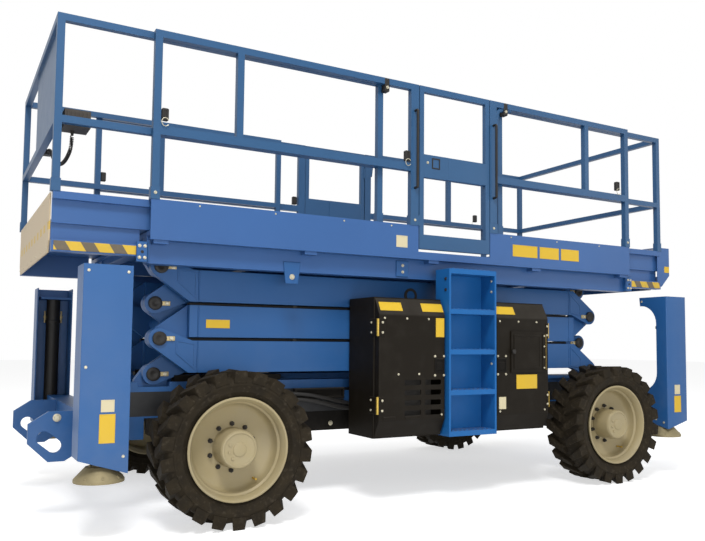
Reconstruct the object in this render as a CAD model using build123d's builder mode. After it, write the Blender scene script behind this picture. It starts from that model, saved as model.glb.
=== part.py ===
"""Rough-terrain scissor lift, stowed for transport.

A four-wheel chassis with outriggers carries three levels of crossed arms and a railed
platform with a deck extension at each end.  Millimetres, +X to the steered front end,
+Y to the left side, +Z up, origin on the ground under the middle of the machine.
"""
import os
from math import cos, hypot, radians, tan

from build123d import *

os.makedirs("parts", exist_ok=True)

# Running gear
WHEELBASE = 2840
OVERALL_WIDTH = 2290
TYRE_RADIUS = 419
TYRE_WIDTH = 305
TYRE_BEAD_RADIUS = 254
TYRE_CARCASS_RADIUS = 380
LUG_COUNT = 22
LUG_TIP_SPARE = 0.2
LUG_HEIGHT = 30
LUG_TIP_WIDTH = 60
LUG_FOOT_WIDTH = 76
LUG_INNER_Y = 16
RIM_FLANGE_RADIUS = 278
RIM_FLANGE_THICK = 9
RIM_BARREL_THICK = 11
RIM_INSET = 24
RIM_DISC_THICK = 14
RIM_DISH_DEPTH = 120
HUB_RADIUS = 103
HUB_FACE_INSET = 6
HUB_INNER_REACH = 60
SPINDLE_RADIUS = 45
SPINDLE_END_WALL = 70
AXLE_WIDTH = 100
AXLE_HEIGHT = 150
KINGPIN_INSET = 192.5
KINGPIN_RADIUS = 22
KNUCKLE_RADIUS = 50
KNUCKLE_HEIGHT = 170
YOKE_EAR_THICK = 30
YOKE_EAR_RADIUS = 46
YOKE_WEB = 70
YOKE_SETBACK = 30
AXLE_PIVOT_HALF = 110
AXLE_LAP = 5
STEER_ARM_LENGTH = 200
STEER_ARM_THICK = 25
STEER_PIN_RADIUS = 12
TIE_ROD_RADIUS = 15
TIE_ROD_EYE_RADIUS = 28
BRAKE_DRUM_RADIUS = 135
BRAKE_DRUM_WIDTH = 110

# Chassis
FRAME_TOP_GAP = 0.3
FRAME_HEIGHT = 205
FRAME_INNER_Y = 430
FRAME_OUTER_Y = 560
FRAME_END_X = 1880
NOSE_Z = (430, 600)
NOSE_LAP = 90
END_BEAM_X = (1985, 2130)
TRACK_LEDGE_THICK = 22
TRACK_LEDGE_SPARE = 130
CROSS_MEMBER_WIDTH = 120
CROSS_MEMBER_DROP = 60
CROSS_MEMBER_X = (560, -240)
CARRIER_WIDTH = 60
CARRIER_INSET = 60
BELLY_X = (-1250, 1150)
BELLY_LOW_Z = 425
BELLY_THICK = 12
BELLY_INSET = 8
BRACKET_FOOT = 190
BRACKET_ROUND = 58
TIE_DOWN_LENGTH = 255
TIE_DOWN_THICK = 28
TIE_DOWN_Y = 460
TIE_DOWN_Z = (325, 600)
TIE_DOWN_BROW = (102, 66)
TIE_DOWN_CHIN = (105, 103)
TIE_DOWN_HEEL = (65, 40)
TIE_DOWN_SLOT = (146, 76)
TIE_DOWN_SLOT_TURN = 40
TIE_DOWN_SLOT_INSET = 109
TIE_DOWN_SLOT_RISE = 108

# Scissor stack
PIN_FRONT_X = 1740
PIN_REAR_X = -1630
PIN_BASE_Z = 800
PIN_PITCH = 206
ARM_HEIGHT = 186
ARM_THICK = 100
INNER_ARM_Y = 490
OUTER_ARM_Y = 610
ARM_SETBACK = 170
LUG_RADIUS = 60
LUG_GAP = 4
PIN_RADIUS = 32
PIN_CAP = 6
PIN_CLEARANCE = 0.3
ROLLER_RADIUS = 45
CROSS_TUBE_RADIUS = 42
CROSS_TUBE_INSET = 240
LIFT_ANGLE = 60

# Lift cylinder
LIFT_BASE_X = 1400
LIFT_BASE_RISE = -20
LIFT_EYE_X = -950
BARREL_RADIUS = 70
BARREL_WALL = 16
ROD_CLEARANCE = 0.5
EYE_RADIUS = 66
EYE_WIDTH = 110
BARREL_LENGTH = 1640
ROD_FOOT_GAP = 220

# Outriggers
COVER_OUTER_Y = 1100
COVER_INNER_Y = 914
COVER_TOP_Z = 1368
COVER_WALL = 8
COVER_FRONT_X = (1985, 2222)
COVER_REAR_X = (-2255, -1870)
COVER_LOW_Z = 335
COVER_SLOPE = 75
COVER_EAR_REACH = 150
COVER_EAR_DEPTH = 100
COVER_EAR_LIP = 45
COVER_ARCH_RISE = 45
LEG_FRONT_X = 2104
LEG_REAR_X = -2070
LEG_Y = 1004
JACK_RADIUS = 46
JACK_WALL = 13
JACK_TOP_Z = 1290
JACK_BOTTOM_Z = 470
JACK_PLATE_THICK = 16
JACK_CLAMP_WIDTH = 50
JACK_CLAMP_LAP = 4
LEG_CLEARANCE = 0.4
FOOT_RADIUS = 122
FOOT_LOW_Z = 292
FOOT_HEIGHT = 74
FOOT_LIP = 14

# Cabinets and ladders
CABINET_INNER_Y = 682
CABINET_OUTER_Y = 1043
CABINET_LOW_Z = 412
CABINET_TOP_Z = 1272
CABINET_WALL = 6
FRONT_CABINET_X = (40, 535)
REAR_CABINET_X = (-830, -367)
REAR_CABINET_CUT = 112
DOOR_THICK = 16
DOOR_GAP = 0.4
DOOR_MARGIN = 6
HINGE_RADIUS = 9
HINGE_LENGTH = 120
HINGE_INSET = 150
GRILLE_COLUMNS = 2
GRILLE_ROWS = 4
GRILLE_SLOT = (120, 32)
GRILLE_PITCH = (150, 62)
GRILLE_CENTRE = (210, 655)
SMALL_DOOR_X = (-792, -490)
SMALL_DOOR_Z = (800, 1078)
SMALL_DOOR_THICK = 8
ENGINE_SIZE = (380, 270, 520)
LADDER_X = (-350, 30)
LADDER_Y = (932, 1084)
LADDER_WALL = 14
LADDER_TOP_Z = 1470
LADDER_LOW_Z = 405
LADDER_TREADS = 5
LADDER_TREAD_THICK = 32
LADDER_ARM_INSET = 90
LADDER_ARM_WIDTH = 50
LADDER_ARM_LAP = 6
LADDER_ARM_Z = (650, 690)
CARRIER_Z = (600, 680)

# Platform
FLOOR_RISE = 167
RAIL_RISE = 1105
RAIL_SIZE = 40
MID_RAIL_RISE = 525
MID_RAIL_HEIGHT = 50
PLATFORM_HALF_WIDTH = 915
MAIN_FRONT_X = 1865
MAIN_REAR_X = -1810
FLOOR_THICK = 25
SKIRT_DROP = 50
TOE_RISE = 170
SKIRT_WALL = 10
SKIRT_FLANGE = 42
SKIRT_FLANGE_THICK = 8
SIDE_BEAM_Y = (760, 845)
SIDE_BEAM_DROP = 149
CROSS_BEAM_DROP = 45
CROSS_BEAM_WIDTH = 80
CROSS_BEAM_COUNT = 5
CROSS_BEAM_INSET = 60
DECK_BRACKET_LENGTH = 420
GATE_X = (-434, 155)
GATE_POST_WIDTH = 60
MINI_POST_X = (1377, -1361)
GATE_LIFT = 20
GATE_TOE_HEIGHT = 95
GATE_PANEL_RISE = (495, 648)
GATE_PANEL_LENGTH = 230
GATE_GAP = 6
GATE_BAR = 34

# Deck extensions
EXT_FRONT_X = 2354
EXT_REAR_X = -2232
EXT_RAIL_OUTER_Y = 866
EXT_RAIL_SIZE = 38
FRONT_EXT_INNER_X = 400
REAR_EXT_INNER_X = -545
EXT_FLOOR_THICK = 20
EXT_PAD_HEIGHT = 8
EXT_PAD_GAP = 0.3
EXT_PAD_WIDTH = 90
EXT_PAD_Y = (-600, 0, 600)
EXT_PAD_END = 60
EXT_TOE_WALL = 10
EXT_TOE_TUBE = 40
SKID_HEIGHT = 62
SKID_DROP = 141
SKID_GAP = 35
SKID_HANGER_INSET = 30
SKID_HANGER_THICK = 12
END_PLATE_THICK = 8
END_PLATE_HALF = 800
END_PLATE_LOW_HALF = 760
CONTROL_BOX = (130, 150, 90)
FRONT_PANEL_Y = (-200, 828)
FRONT_PANEL_THICK = 8
SOCKET_SIZE = (40, 60, 32)
SOCKET_Y = 100
SOCKET_RISE = 18
CORD_DIAMETER = 22

# Places worked out from the sizes above
AXLE_Z = TYRE_RADIUS
FRONT_AXLE_X = WHEELBASE / 2
REAR_AXLE_X = -WHEELBASE / 2
WHEEL_Y = (OVERALL_WIDTH - TYRE_WIDTH) / 2
KINGPIN_Y = WHEEL_Y - KINGPIN_INSET
FRAME_TOP_Z = PIN_BASE_Z - ROLLER_RADIUS - FRAME_TOP_GAP
FRAME_LOW_Z = FRAME_TOP_Z - FRAME_HEIGHT
PIN_SPAN = PIN_FRONT_X - PIN_REAR_X
ARM_MID_X = (PIN_FRONT_X + PIN_REAR_X) / 2
PIN_Z = [PIN_BASE_Z + PIN_PITCH * level for level in range(4)]
LEVEL_Z = [PIN_BASE_Z + PIN_PITCH * (level - 0.5) for level in range(1, 4)]
TRACK_BOTTOM_Z = PIN_Z[3] + ROLLER_RADIUS + FRAME_TOP_GAP
FLOOR_TOP_Z = PIN_Z[3] + FLOOR_RISE
RAIL_TOP_Z = FLOOR_TOP_Z + RAIL_RISE
MID_RAIL_Z = FLOOR_TOP_Z + MID_RAIL_RISE
SKIRT_LOW_Z = FLOOR_TOP_Z - SKIRT_DROP
TOE_TOP_Z = FLOOR_TOP_Z + TOE_RISE
GATE_LOW_Z = FLOOR_TOP_Z + GATE_LIFT
GATE_PANEL_Z = (FLOOR_TOP_Z + GATE_PANEL_RISE[0], FLOOR_TOP_Z + GATE_PANEL_RISE[1])
SKID_LOW_Z = FLOOR_TOP_Z - SKID_DROP
SOCKET_Z = MID_RAIL_Z + SOCKET_RISE
FLOOR_LOW_Z = FLOOR_TOP_Z - FLOOR_THICK
ROLLER_TRAVEL = PIN_SPAN * (1 - cos(radians(LIFT_ANGLE + 3.5)))
EXT_FLOOR_LOW_Z = FLOOR_TOP_Z + EXT_PAD_GAP + EXT_PAD_HEIGHT
EXT_FLOOR_TOP_Z = EXT_FLOOR_LOW_Z + EXT_FLOOR_THICK
EXT_RAIL_INNER_Y = EXT_RAIL_OUTER_Y - EXT_RAIL_SIZE
POST_FOOT_Z = TOE_TOP_Z


def keep(builder, name):
    """Label a finished piece and write its STEP file."""
    builder.part.label = name
    export_step(builder.part, f"parts/{name}.step")


def block(x, y, z, mode=Mode.ADD):
    """A box from its low and high ends along each axis."""
    centre = ((x[0] + x[1]) / 2, (y[0] + y[1]) / 2, (z[0] + z[1]) / 2)
    with Locations(centre):
        Box(x[1] - x[0], y[1] - y[0], z[1] - z[0], mode=mode)


def side_plane(y):
    """Upright plane along the machine at y: sketch X is X, sketch Y is Z, normal -Y."""
    return Plane.XZ.offset(-y)


def cross_plane(x):
    """Upright plane across the machine at x: sketch X is Y, sketch Y is Z, normal +X."""
    return Plane.YZ.offset(x)


def bar(low, high, mode=Mode.ADD):
    """A rectangle in a sketch from its low and high corners."""
    with Locations(((low[0] + high[0]) / 2, (low[1] + high[1]) / 2)):
        Rectangle(high[0] - low[0], high[1] - low[1], mode=mode)


def across(x, z, radius, y_low, y_high, mode=Mode.ADD):
    """A round bar along Y."""
    with BuildSketch(side_plane(y_high)) as section:
        with Locations((x, z)):
            Circle(radius)
    extrude(section.sketch, amount=y_high - y_low, mode=mode)


def upright(x, y, radius, z_low, z_high, mode=Mode.ADD):
    """A round bar along Z."""
    with BuildSketch(Plane.XY.offset(z_low)) as section:
        with Locations((x, y)):
            Circle(radius)
    extrude(section.sketch, amount=z_high - z_low, mode=mode)


def mirrored(builder, name):
    """The right-hand copy of a left-hand piece."""
    with BuildPart() as copy:
        mirror(builder.part, about=Plane.XZ)
    keep(copy, name)
    return copy


# Wheels: a tyre and a deep-dish rim with its hub on each spindle
def wheel_section(x):
    """Plane through a left wheel's axle: sketch X is the radius, sketch Y runs outwards."""
    return Plane(origin=(x, WHEEL_Y, AXLE_Z), x_dir=(1, 0, 0), z_dir=(0, 0, 1))


def lug_outline(first_turn):
    """A ring of tread lugs as a toothed outline round the origin, the first lug turned from the top."""
    tip = TYRE_RADIUS - LUG_TIP_SPARE
    foot = tip - LUG_HEIGHT
    tip_half = LUG_TIP_WIDTH / 2
    foot_half = LUG_FOOT_WIDTH / 2
    tooth = ((-foot_half, foot), (-tip_half, tip), (tip_half, tip), (foot_half, foot))
    corners = []
    for number in range(LUG_COUNT):
        turn = first_turn - number * 360 / LUG_COUNT
        corners += [Vector(x, y).rotate(Axis.Z, turn) for x, y in tooth]
    return corners


def tyre(x):
    """Tyre with two staggered rows of lugs round a smooth carcass."""
    half = TYRE_WIDTH / 2
    with BuildPart() as piece:
        with BuildSketch(wheel_section(x)):
            bar((TYRE_BEAD_RADIUS, -half), (TYRE_CARCASS_RADIUS, half))
        revolve(axis=Axis((x, WHEEL_Y, AXLE_Z), (0, 1, 0)))
        for row_y, first_turn in ((WHEEL_Y + half, 0), (WHEEL_Y - LUG_INNER_Y, 180 / LUG_COUNT)):
            with BuildSketch(Plane(origin=(x, row_y, AXLE_Z), x_dir=(1, 0, 0), z_dir=(0, -1, 0))):
                with BuildLine():
                    Polyline(*lug_outline(first_turn), close=True)
                make_face()
                Circle(TYRE_CARCASS_RADIUS - LUG_HEIGHT, mode=Mode.SUBTRACT)
            extrude(amount=half - LUG_INNER_Y)
    return piece


def rim(x):
    """Rim barrel with two flanges, a dished disc and a hub that takes the spindle."""
    half = TYRE_WIDTH / 2 - RIM_INSET
    disc = half - RIM_DISH_DEPTH
    inner = TYRE_BEAD_RADIUS - RIM_BARREL_THICK
    hub_face = TYRE_WIDTH / 2 - HUB_FACE_INSET
    spindle_end = hub_face - SPINDLE_END_WALL
    with BuildPart() as piece:
        with BuildSketch(wheel_section(x)):
            bar((inner, -half), (TYRE_BEAD_RADIUS - PIN_CLEARANCE, half))
            bar((inner, half), (RIM_FLANGE_RADIUS, half + RIM_FLANGE_THICK))
            bar((inner, -half - RIM_FLANGE_THICK), (RIM_FLANGE_RADIUS, -half))
            bar((HUB_RADIUS, disc - RIM_DISC_THICK), (inner, disc))
            bar((SPINDLE_RADIUS + PIN_CLEARANCE, -HUB_INNER_REACH), (HUB_RADIUS, hub_face))
            bar((0, spindle_end + PIN_CLEARANCE), (HUB_RADIUS, hub_face))
        revolve(axis=Axis((x, WHEEL_Y, AXLE_Z), (0, 1, 0)))
    return piece


def fit_tyre_round_rim(tyre_piece, x):
    """Cut the rim's flange seats into the tyre's sides."""
    half = TYRE_WIDTH / 2
    with BuildPart() as piece:
        add(tyre_piece.part)
        with BuildSketch(wheel_section(x)):
            bar((0, half - RIM_INSET - PIN_CLEARANCE), (RIM_FLANGE_RADIUS + PIN_CLEARANCE, half))
            bar((0, -half), (RIM_FLANGE_RADIUS + PIN_CLEARANCE, -half + RIM_INSET + PIN_CLEARANCE))
        revolve(axis=Axis((x, WHEEL_Y, AXLE_Z), (0, 1, 0)), mode=Mode.SUBTRACT)
    return piece


for end, axle_x in (("front", FRONT_AXLE_X), ("rear", REAR_AXLE_X)):
    tyre_left = fit_tyre_round_rim(tyre(axle_x), axle_x)
    keep(tyre_left, f"tyre_{end}_left")
    mirrored(tyre_left, f"tyre_{end}_right")
    rim_left = rim(axle_x)
    keep(rim_left, f"rim_{end}_left")
    mirrored(rim_left, f"rim_{end}_right")

SPINDLE_END_Y = OVERALL_WIDTH / 2 - HUB_FACE_INSET - SPINDLE_END_WALL
AXLE_TOP_Z = AXLE_Z + AXLE_HEIGHT / 2
YOKE_Y = KINGPIN_Y - YOKE_EAR_RADIUS - YOKE_SETBACK
EAR_LOW_Z = AXLE_Z - KNUCKLE_HEIGHT / 2 - PIN_CLEARANCE
EAR_HIGH_Z = AXLE_Z + KNUCKLE_HEIGHT / 2 + PIN_CLEARANCE

# Front axle: a beam with a forked yoke at each end
with BuildPart() as front_axle:
    beam_x = (FRONT_AXLE_X - AXLE_WIDTH / 2, FRONT_AXLE_X + AXLE_WIDTH / 2)
    block(beam_x, (-YOKE_Y, YOKE_Y), (AXLE_Z - AXLE_HEIGHT / 2, AXLE_TOP_Z))
    for side in (1, -1):
        for ear_low in (EAR_LOW_Z - YOKE_EAR_THICK, EAR_HIGH_Z):
            with BuildSketch(Plane.XY.offset(ear_low)):
                with Locations((FRONT_AXLE_X, side * KINGPIN_Y)):
                    Circle(YOKE_EAR_RADIUS)
                with Locations((FRONT_AXLE_X, side * (YOKE_Y - 40))):
                    Rectangle(AXLE_WIDTH, 60)
                make_hull()
                with Locations((FRONT_AXLE_X, side * KINGPIN_Y)):
                    Circle(KINGPIN_RADIUS + PIN_CLEARANCE, mode=Mode.SUBTRACT)
            extrude(amount=YOKE_EAR_THICK)
        web_y = sorted((side * (YOKE_Y - YOKE_WEB), side * YOKE_Y))
        web_z = (EAR_LOW_Z - YOKE_EAR_THICK, EAR_HIGH_Z + YOKE_EAR_THICK)
        block(beam_x, web_y, web_z)
    pivot_y = (-AXLE_PIVOT_HALF, AXLE_PIVOT_HALF)
    block(beam_x, pivot_y, (AXLE_TOP_Z - AXLE_LAP, FRAME_LOW_Z))
keep(front_axle, "front_axle")

# Rear axle: a beam with brake drums and spindles, hung on two pads
with BuildPart() as rear_axle:
    beam_x = (REAR_AXLE_X - AXLE_WIDTH / 2, REAR_AXLE_X + AXLE_WIDTH / 2)
    drum_y = WHEEL_Y - HUB_INNER_REACH - 20
    block(beam_x, (-drum_y, drum_y), (AXLE_Z - AXLE_HEIGHT / 2, AXLE_TOP_Z))
    across(REAR_AXLE_X, AXLE_Z, SPINDLE_RADIUS, -SPINDLE_END_Y, SPINDLE_END_Y)
    for side in (1, -1):
        drum = sorted((side * (drum_y - BRAKE_DRUM_WIDTH), side * drum_y))
        across(REAR_AXLE_X, AXLE_Z, BRAKE_DRUM_RADIUS, *drum)
        pad_y = sorted((side * FRAME_INNER_Y, side * FRAME_OUTER_Y))
        block(beam_x, pad_y, (AXLE_TOP_Z - AXLE_LAP, FRAME_LOW_Z))
keep(rear_axle, "rear_axle")

STEER_PIN_X = FRONT_AXLE_X - STEER_ARM_LENGTH
STEER_ARM_LOW_Z = AXLE_Z - 45
STEER_ARM_TOP_Z = STEER_ARM_LOW_Z + STEER_ARM_THICK
TIE_ROD_LOW_Z = STEER_ARM_TOP_Z + 0.3
TIE_ROD_TOP_Z = TIE_ROD_LOW_Z + 2 * TIE_ROD_RADIUS + 6

# Steering knuckle: kingpin, spindle and steering arm
with BuildPart() as knuckle_left:
    knuckle_low = AXLE_Z - KNUCKLE_HEIGHT / 2
    upright(FRONT_AXLE_X, KINGPIN_Y, KNUCKLE_RADIUS, knuckle_low, knuckle_low + KNUCKLE_HEIGHT)
    pin_reach = KNUCKLE_HEIGHT / 2 + YOKE_EAR_THICK + 8
    upright(FRONT_AXLE_X, KINGPIN_Y, KINGPIN_RADIUS, AXLE_Z - pin_reach, AXLE_Z + pin_reach)
    across(FRONT_AXLE_X, AXLE_Z, SPINDLE_RADIUS, KINGPIN_Y, SPINDLE_END_Y)
    with BuildSketch(Plane.XY.offset(STEER_ARM_LOW_Z)):
        with Locations((FRONT_AXLE_X - 20, KINGPIN_Y)):
            Circle(38)
        with Locations((STEER_PIN_X, KINGPIN_Y)):
            Circle(TIE_ROD_EYE_RADIUS - 4)
        make_hull()
    extrude(amount=STEER_ARM_THICK)
    upright(STEER_PIN_X, KINGPIN_Y, STEER_PIN_RADIUS, STEER_ARM_LOW_Z, TIE_ROD_TOP_Z + 8)
keep(knuckle_left, "knuckle_left")
mirrored(knuckle_left, "knuckle_right")

# Tie rod between the two steering arms
with BuildPart() as tie_rod:
    rod_z = (TIE_ROD_LOW_Z + TIE_ROD_TOP_Z) / 2
    across(STEER_PIN_X, rod_z, TIE_ROD_RADIUS, -KINGPIN_Y, KINGPIN_Y)
    for side in (1, -1):
        upright(STEER_PIN_X, side * KINGPIN_Y, TIE_ROD_EYE_RADIUS, TIE_ROD_LOW_Z, TIE_ROD_TOP_Z)
    for side in (1, -1):
        hole = STEER_PIN_RADIUS + PIN_CLEARANCE
        upright(STEER_PIN_X, side * KINGPIN_Y, hole, TIE_ROD_LOW_Z, TIE_ROD_TOP_Z, Mode.SUBTRACT)
keep(tie_rod, "tie_rod")


# Scissor arms: box beams with pointed end plates, stacked level when stowed
def slice_y(centre, odd):
    """The half of an arm's thickness that its end plates take."""
    if odd:
        return centre + LUG_GAP / 2, centre + ARM_THICK / 2
    return centre - ARM_THICK / 2, centre - LUG_GAP / 2


def arm_beam(centre_y, level, front_pin_z, rear_pin_z, odd):
    """One arm: a beam between two pointed end plates whose tips hold the pins."""
    mid_z = LEVEL_Z[level]
    low_z = mid_z - ARM_HEIGHT / 2
    high_z = mid_z + ARM_HEIGHT / 2
    front_x = PIN_FRONT_X - ARM_SETBACK
    rear_x = PIN_REAR_X + ARM_SETBACK
    with BuildSketch(side_plane(centre_y + ARM_THICK / 2)) as beam:
        bar((rear_x, low_z), (front_x, high_z))
    extrude(beam.sketch, amount=ARM_THICK)
    plate_low, plate_high = slice_y(centre_y, odd)
    plate_ends = ((front_x - 10, PIN_FRONT_X, front_pin_z), (rear_x + 10, PIN_REAR_X, rear_pin_z))
    for beam_x, pin_x, pin_z in plate_ends:
        with BuildSketch(side_plane(plate_high)) as plate:
            with Locations((pin_x, pin_z)):
                Circle(LUG_RADIUS)
            with Locations((beam_x, mid_z)):
                Rectangle(20, ARM_HEIGHT)
            make_hull()
        extrude(plate.sketch, amount=plate_high - plate_low)


def pin_through(x, z, centre_y, low_reach=PIN_CAP, high_reach=PIN_CAP):
    """A pin along Y through both halves of an arm's thickness."""
    across(x, z, PIN_RADIUS, centre_y - ARM_THICK / 2 - low_reach, centre_y + ARM_THICK / 2 + high_reach)


def pin_hole(x, z, centre_y):
    """The clearance hole for such a pin."""
    hole = PIN_RADIUS + PIN_CLEARANCE
    across(x, z, hole, centre_y - ARM_THICK / 2 - 1, centre_y + ARM_THICK / 2 + 1, Mode.SUBTRACT)


def roller(x, z, centre_y):
    """Track roller on the inner half of an arm's thickness."""
    across(x, z, ROLLER_RADIUS, *slice_y(centre_y, False))


def arm_ends(outer, level):
    """Heights of the front and rear pins of an arm, counted from the bottom level."""
    rises_to_front = outer == (level % 2 == 0)
    low, high = PIN_Z[level], PIN_Z[level + 1]
    return (high, low) if rises_to_front else (low, high)


LIFT_BASE_Z = LEVEL_Z[0] + LIFT_BASE_RISE
LIFT_EYE_Z = LEVEL_Z[1]
CROSS_FRONT_X = PIN_FRONT_X - CROSS_TUBE_INSET
CROSS_REAR_X = PIN_REAR_X + CROSS_TUBE_INSET
CROSS_TUBES = [
    ((LIFT_BASE_X, LIFT_BASE_Z), (CROSS_REAR_X, LEVEL_Z[0])),
    ((LIFT_EYE_X, LIFT_EYE_Z), (CROSS_FRONT_X, LEVEL_Z[1])),
    ((CROSS_FRONT_X, LEVEL_Z[2]), (CROSS_REAR_X, LEVEL_Z[2])),
]

for level in range(3):
    odd = level % 2 == 0
    for outer in (True, False):
        centre_y = OUTER_ARM_Y if outer else INNER_ARM_Y
        front_z, rear_z = arm_ends(outer, level)
        with BuildPart() as arms:
            arm_beam(centre_y, level, front_z, rear_z, odd)
            for pin_x, pin_z in ((PIN_FRONT_X, front_z), (PIN_REAR_X, rear_z)):
                if odd:
                    pin_through(pin_x, pin_z, centre_y)
                else:
                    pin_hole(pin_x, pin_z, centre_y)
            if outer:
                inner_reach = OUTER_ARM_Y - INNER_ARM_Y
                pin_through(ARM_MID_X, LEVEL_Z[level], centre_y, low_reach=inner_reach)
            else:
                pin_hole(ARM_MID_X, LEVEL_Z[level], centre_y)
            if outer and level == 0:
                roller(PIN_REAR_X, rear_z, centre_y)
            if level == 2 and not outer:
                roller(PIN_REAR_X, rear_z, centre_y)
            mirror(about=Plane.XZ)
            if not outer:
                inner_face = INNER_ARM_Y - ARM_THICK / 2
                for tube_x, tube_z in CROSS_TUBES[level]:
                    across(tube_x, tube_z, CROSS_TUBE_RADIUS, -inner_face, inner_face)
        keep(arms, f"{'outer' if outer else 'inner'}_arms_{level + 1}")

# Lift cylinder: barrel on the lowest inner arms, rod eye on the middle inner arms
LIFT_RUN = hypot(LIFT_EYE_X - LIFT_BASE_X, LIFT_EYE_Z - LIFT_BASE_Z)
LIFT_LINE = Plane(
    origin=(LIFT_BASE_X, 0, LIFT_BASE_Z),
    x_dir=(0, 1, 0),
    z_dir=(LIFT_EYE_X - LIFT_BASE_X, 0, LIFT_EYE_Z - LIFT_BASE_Z),
)
TUBE_HOLE = CROSS_TUBE_RADIUS + PIN_CLEARANCE
ROD_RADIUS = BARREL_RADIUS - BARREL_WALL - ROD_CLEARANCE
with BuildPart() as lift_barrel:
    across(LIFT_BASE_X, LIFT_BASE_Z, EYE_RADIUS, -EYE_WIDTH / 2, EYE_WIDTH / 2)
    with BuildSketch(LIFT_LINE.offset(EYE_RADIUS - 20)):
        Circle(BARREL_RADIUS)
    extrude(amount=BARREL_LENGTH)
    with BuildSketch(LIFT_LINE.offset(EYE_RADIUS + 30)):
        Circle(BARREL_RADIUS - BARREL_WALL)
    extrude(amount=BARREL_LENGTH, mode=Mode.SUBTRACT)
    across(LIFT_BASE_X, LIFT_BASE_Z, TUBE_HOLE, -EYE_WIDTH, EYE_WIDTH, Mode.SUBTRACT)
keep(lift_barrel, "lift_barrel")

with BuildPart() as lift_rod:
    rod_start = EYE_RADIUS + ROD_FOOT_GAP
    with BuildSketch(LIFT_LINE.offset(rod_start)):
        Circle(ROD_RADIUS)
    extrude(amount=LIFT_RUN - rod_start)
    across(LIFT_EYE_X, LIFT_EYE_Z, EYE_RADIUS, -EYE_WIDTH / 2, EYE_WIDTH / 2)
    across(LIFT_EYE_X, LIFT_EYE_Z, TUBE_HOLE, -EYE_WIDTH, EYE_WIDTH, Mode.SUBTRACT)
keep(lift_rod, "lift_rod")

# Chassis: two box rails with roller ledges, arm brackets and lowered ends
with BuildPart() as chassis_frame:
    rail_y = (FRAME_INNER_Y, FRAME_OUTER_Y)
    block((-FRAME_END_X, FRAME_END_X), rail_y, (FRAME_LOW_Z, FRAME_TOP_Z))
    ledge_y = (FRAME_INNER_Y, OUTER_ARM_Y + LUG_GAP / 2)
    ledge_x = (PIN_REAR_X - TRACK_LEDGE_SPARE, PIN_REAR_X + ROLLER_TRAVEL + TRACK_LEDGE_SPARE)
    block(ledge_x, ledge_y, (FRAME_TOP_Z - TRACK_LEDGE_THICK, FRAME_TOP_Z))
    for end in (1, -1):
        nose_x = sorted((end * (FRAME_END_X - NOSE_LAP), end * END_BEAM_X[0]))
        block(nose_x, rail_y, NOSE_Z)
    bracket_y = slice_y(INNER_ARM_Y, False)
    with BuildSketch(side_plane(bracket_y[1])):
        with Locations((PIN_FRONT_X, PIN_BASE_Z)):
            Circle(BRACKET_ROUND)
        with Locations((PIN_FRONT_X, FRAME_TOP_Z)):
            Rectangle(BRACKET_FOOT, TRACK_LEDGE_THICK)
        make_hull()
    extrude(amount=bracket_y[1] - bracket_y[0])
    bracket_hole = PIN_RADIUS + PIN_CLEARANCE
    across(PIN_FRONT_X, PIN_BASE_Z, bracket_hole, bracket_y[0] - 1, bracket_y[1] + 1, Mode.SUBTRACT)
    pocket_x = (PIN_FRONT_X - LUG_RADIUS - 30, PIN_FRONT_X + LUG_RADIUS + 30)
    pocket_z = (PIN_BASE_Z - LUG_RADIUS - 12, FRAME_TOP_Z + 1)
    block(pocket_x, (bracket_y[1], FRAME_OUTER_Y + 1), pocket_z, Mode.SUBTRACT)
    mirror(about=Plane.XZ)
keep(chassis_frame, "chassis_frame")

# End beams with jack clamps, cross members and cabinet carriers, each butted against the rails
with BuildPart() as cross_members:
    for end in (1, -1):
        beam_x = sorted((end * END_BEAM_X[0], end * END_BEAM_X[1]))
        block(beam_x, (-COVER_INNER_Y, COVER_INNER_Y), NOSE_Z)
        leg_x = LEG_FRONT_X if end > 0 else LEG_REAR_X
        clamp_x = (leg_x - JACK_CLAMP_WIDTH / 2, leg_x + JACK_CLAMP_WIDTH / 2)
        clamp_end = LEG_Y - JACK_RADIUS + JACK_CLAMP_LAP
        for side in (1, -1):
            block(clamp_x, sorted((side * COVER_INNER_Y, side * clamp_end)), NOSE_Z)
            upright(leg_x, side * LEG_Y, JACK_RADIUS, *NOSE_Z, Mode.SUBTRACT)
    for cross_x in (FRONT_AXLE_X, *CROSS_MEMBER_X, REAR_AXLE_X):
        cross = (cross_x - CROSS_MEMBER_WIDTH / 2, cross_x + CROSS_MEMBER_WIDTH / 2)
        block(cross, (-FRAME_INNER_Y, FRAME_INNER_Y), (FRAME_LOW_Z, FRAME_TOP_Z - CROSS_MEMBER_DROP))
    for cabinet_x in (FRONT_CABINET_X, REAR_CABINET_X):
        for carrier_x in (cabinet_x[0] + CARRIER_INSET, cabinet_x[1] - CARRIER_INSET):
            carrier = (carrier_x - CARRIER_WIDTH / 2, carrier_x + CARRIER_WIDTH / 2)
            for side in (1, -1):
                carrier_y = sorted((side * FRAME_OUTER_Y, side * CABINET_INNER_Y))
                block(carrier, carrier_y, CARRIER_Z)
keep(cross_members, "cross_members")

# Deep belly plates under the rails
with BuildPart() as belly_plates:
    belly_y = FRAME_OUTER_Y - BELLY_INSET
    for side in (1, -1):
        plate_y = sorted((side * (belly_y - BELLY_THICK), side * belly_y))
        block(BELLY_X, plate_y, (BELLY_LOW_Z, FRAME_LOW_Z))
keep(belly_plates, "belly_plates")

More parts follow.
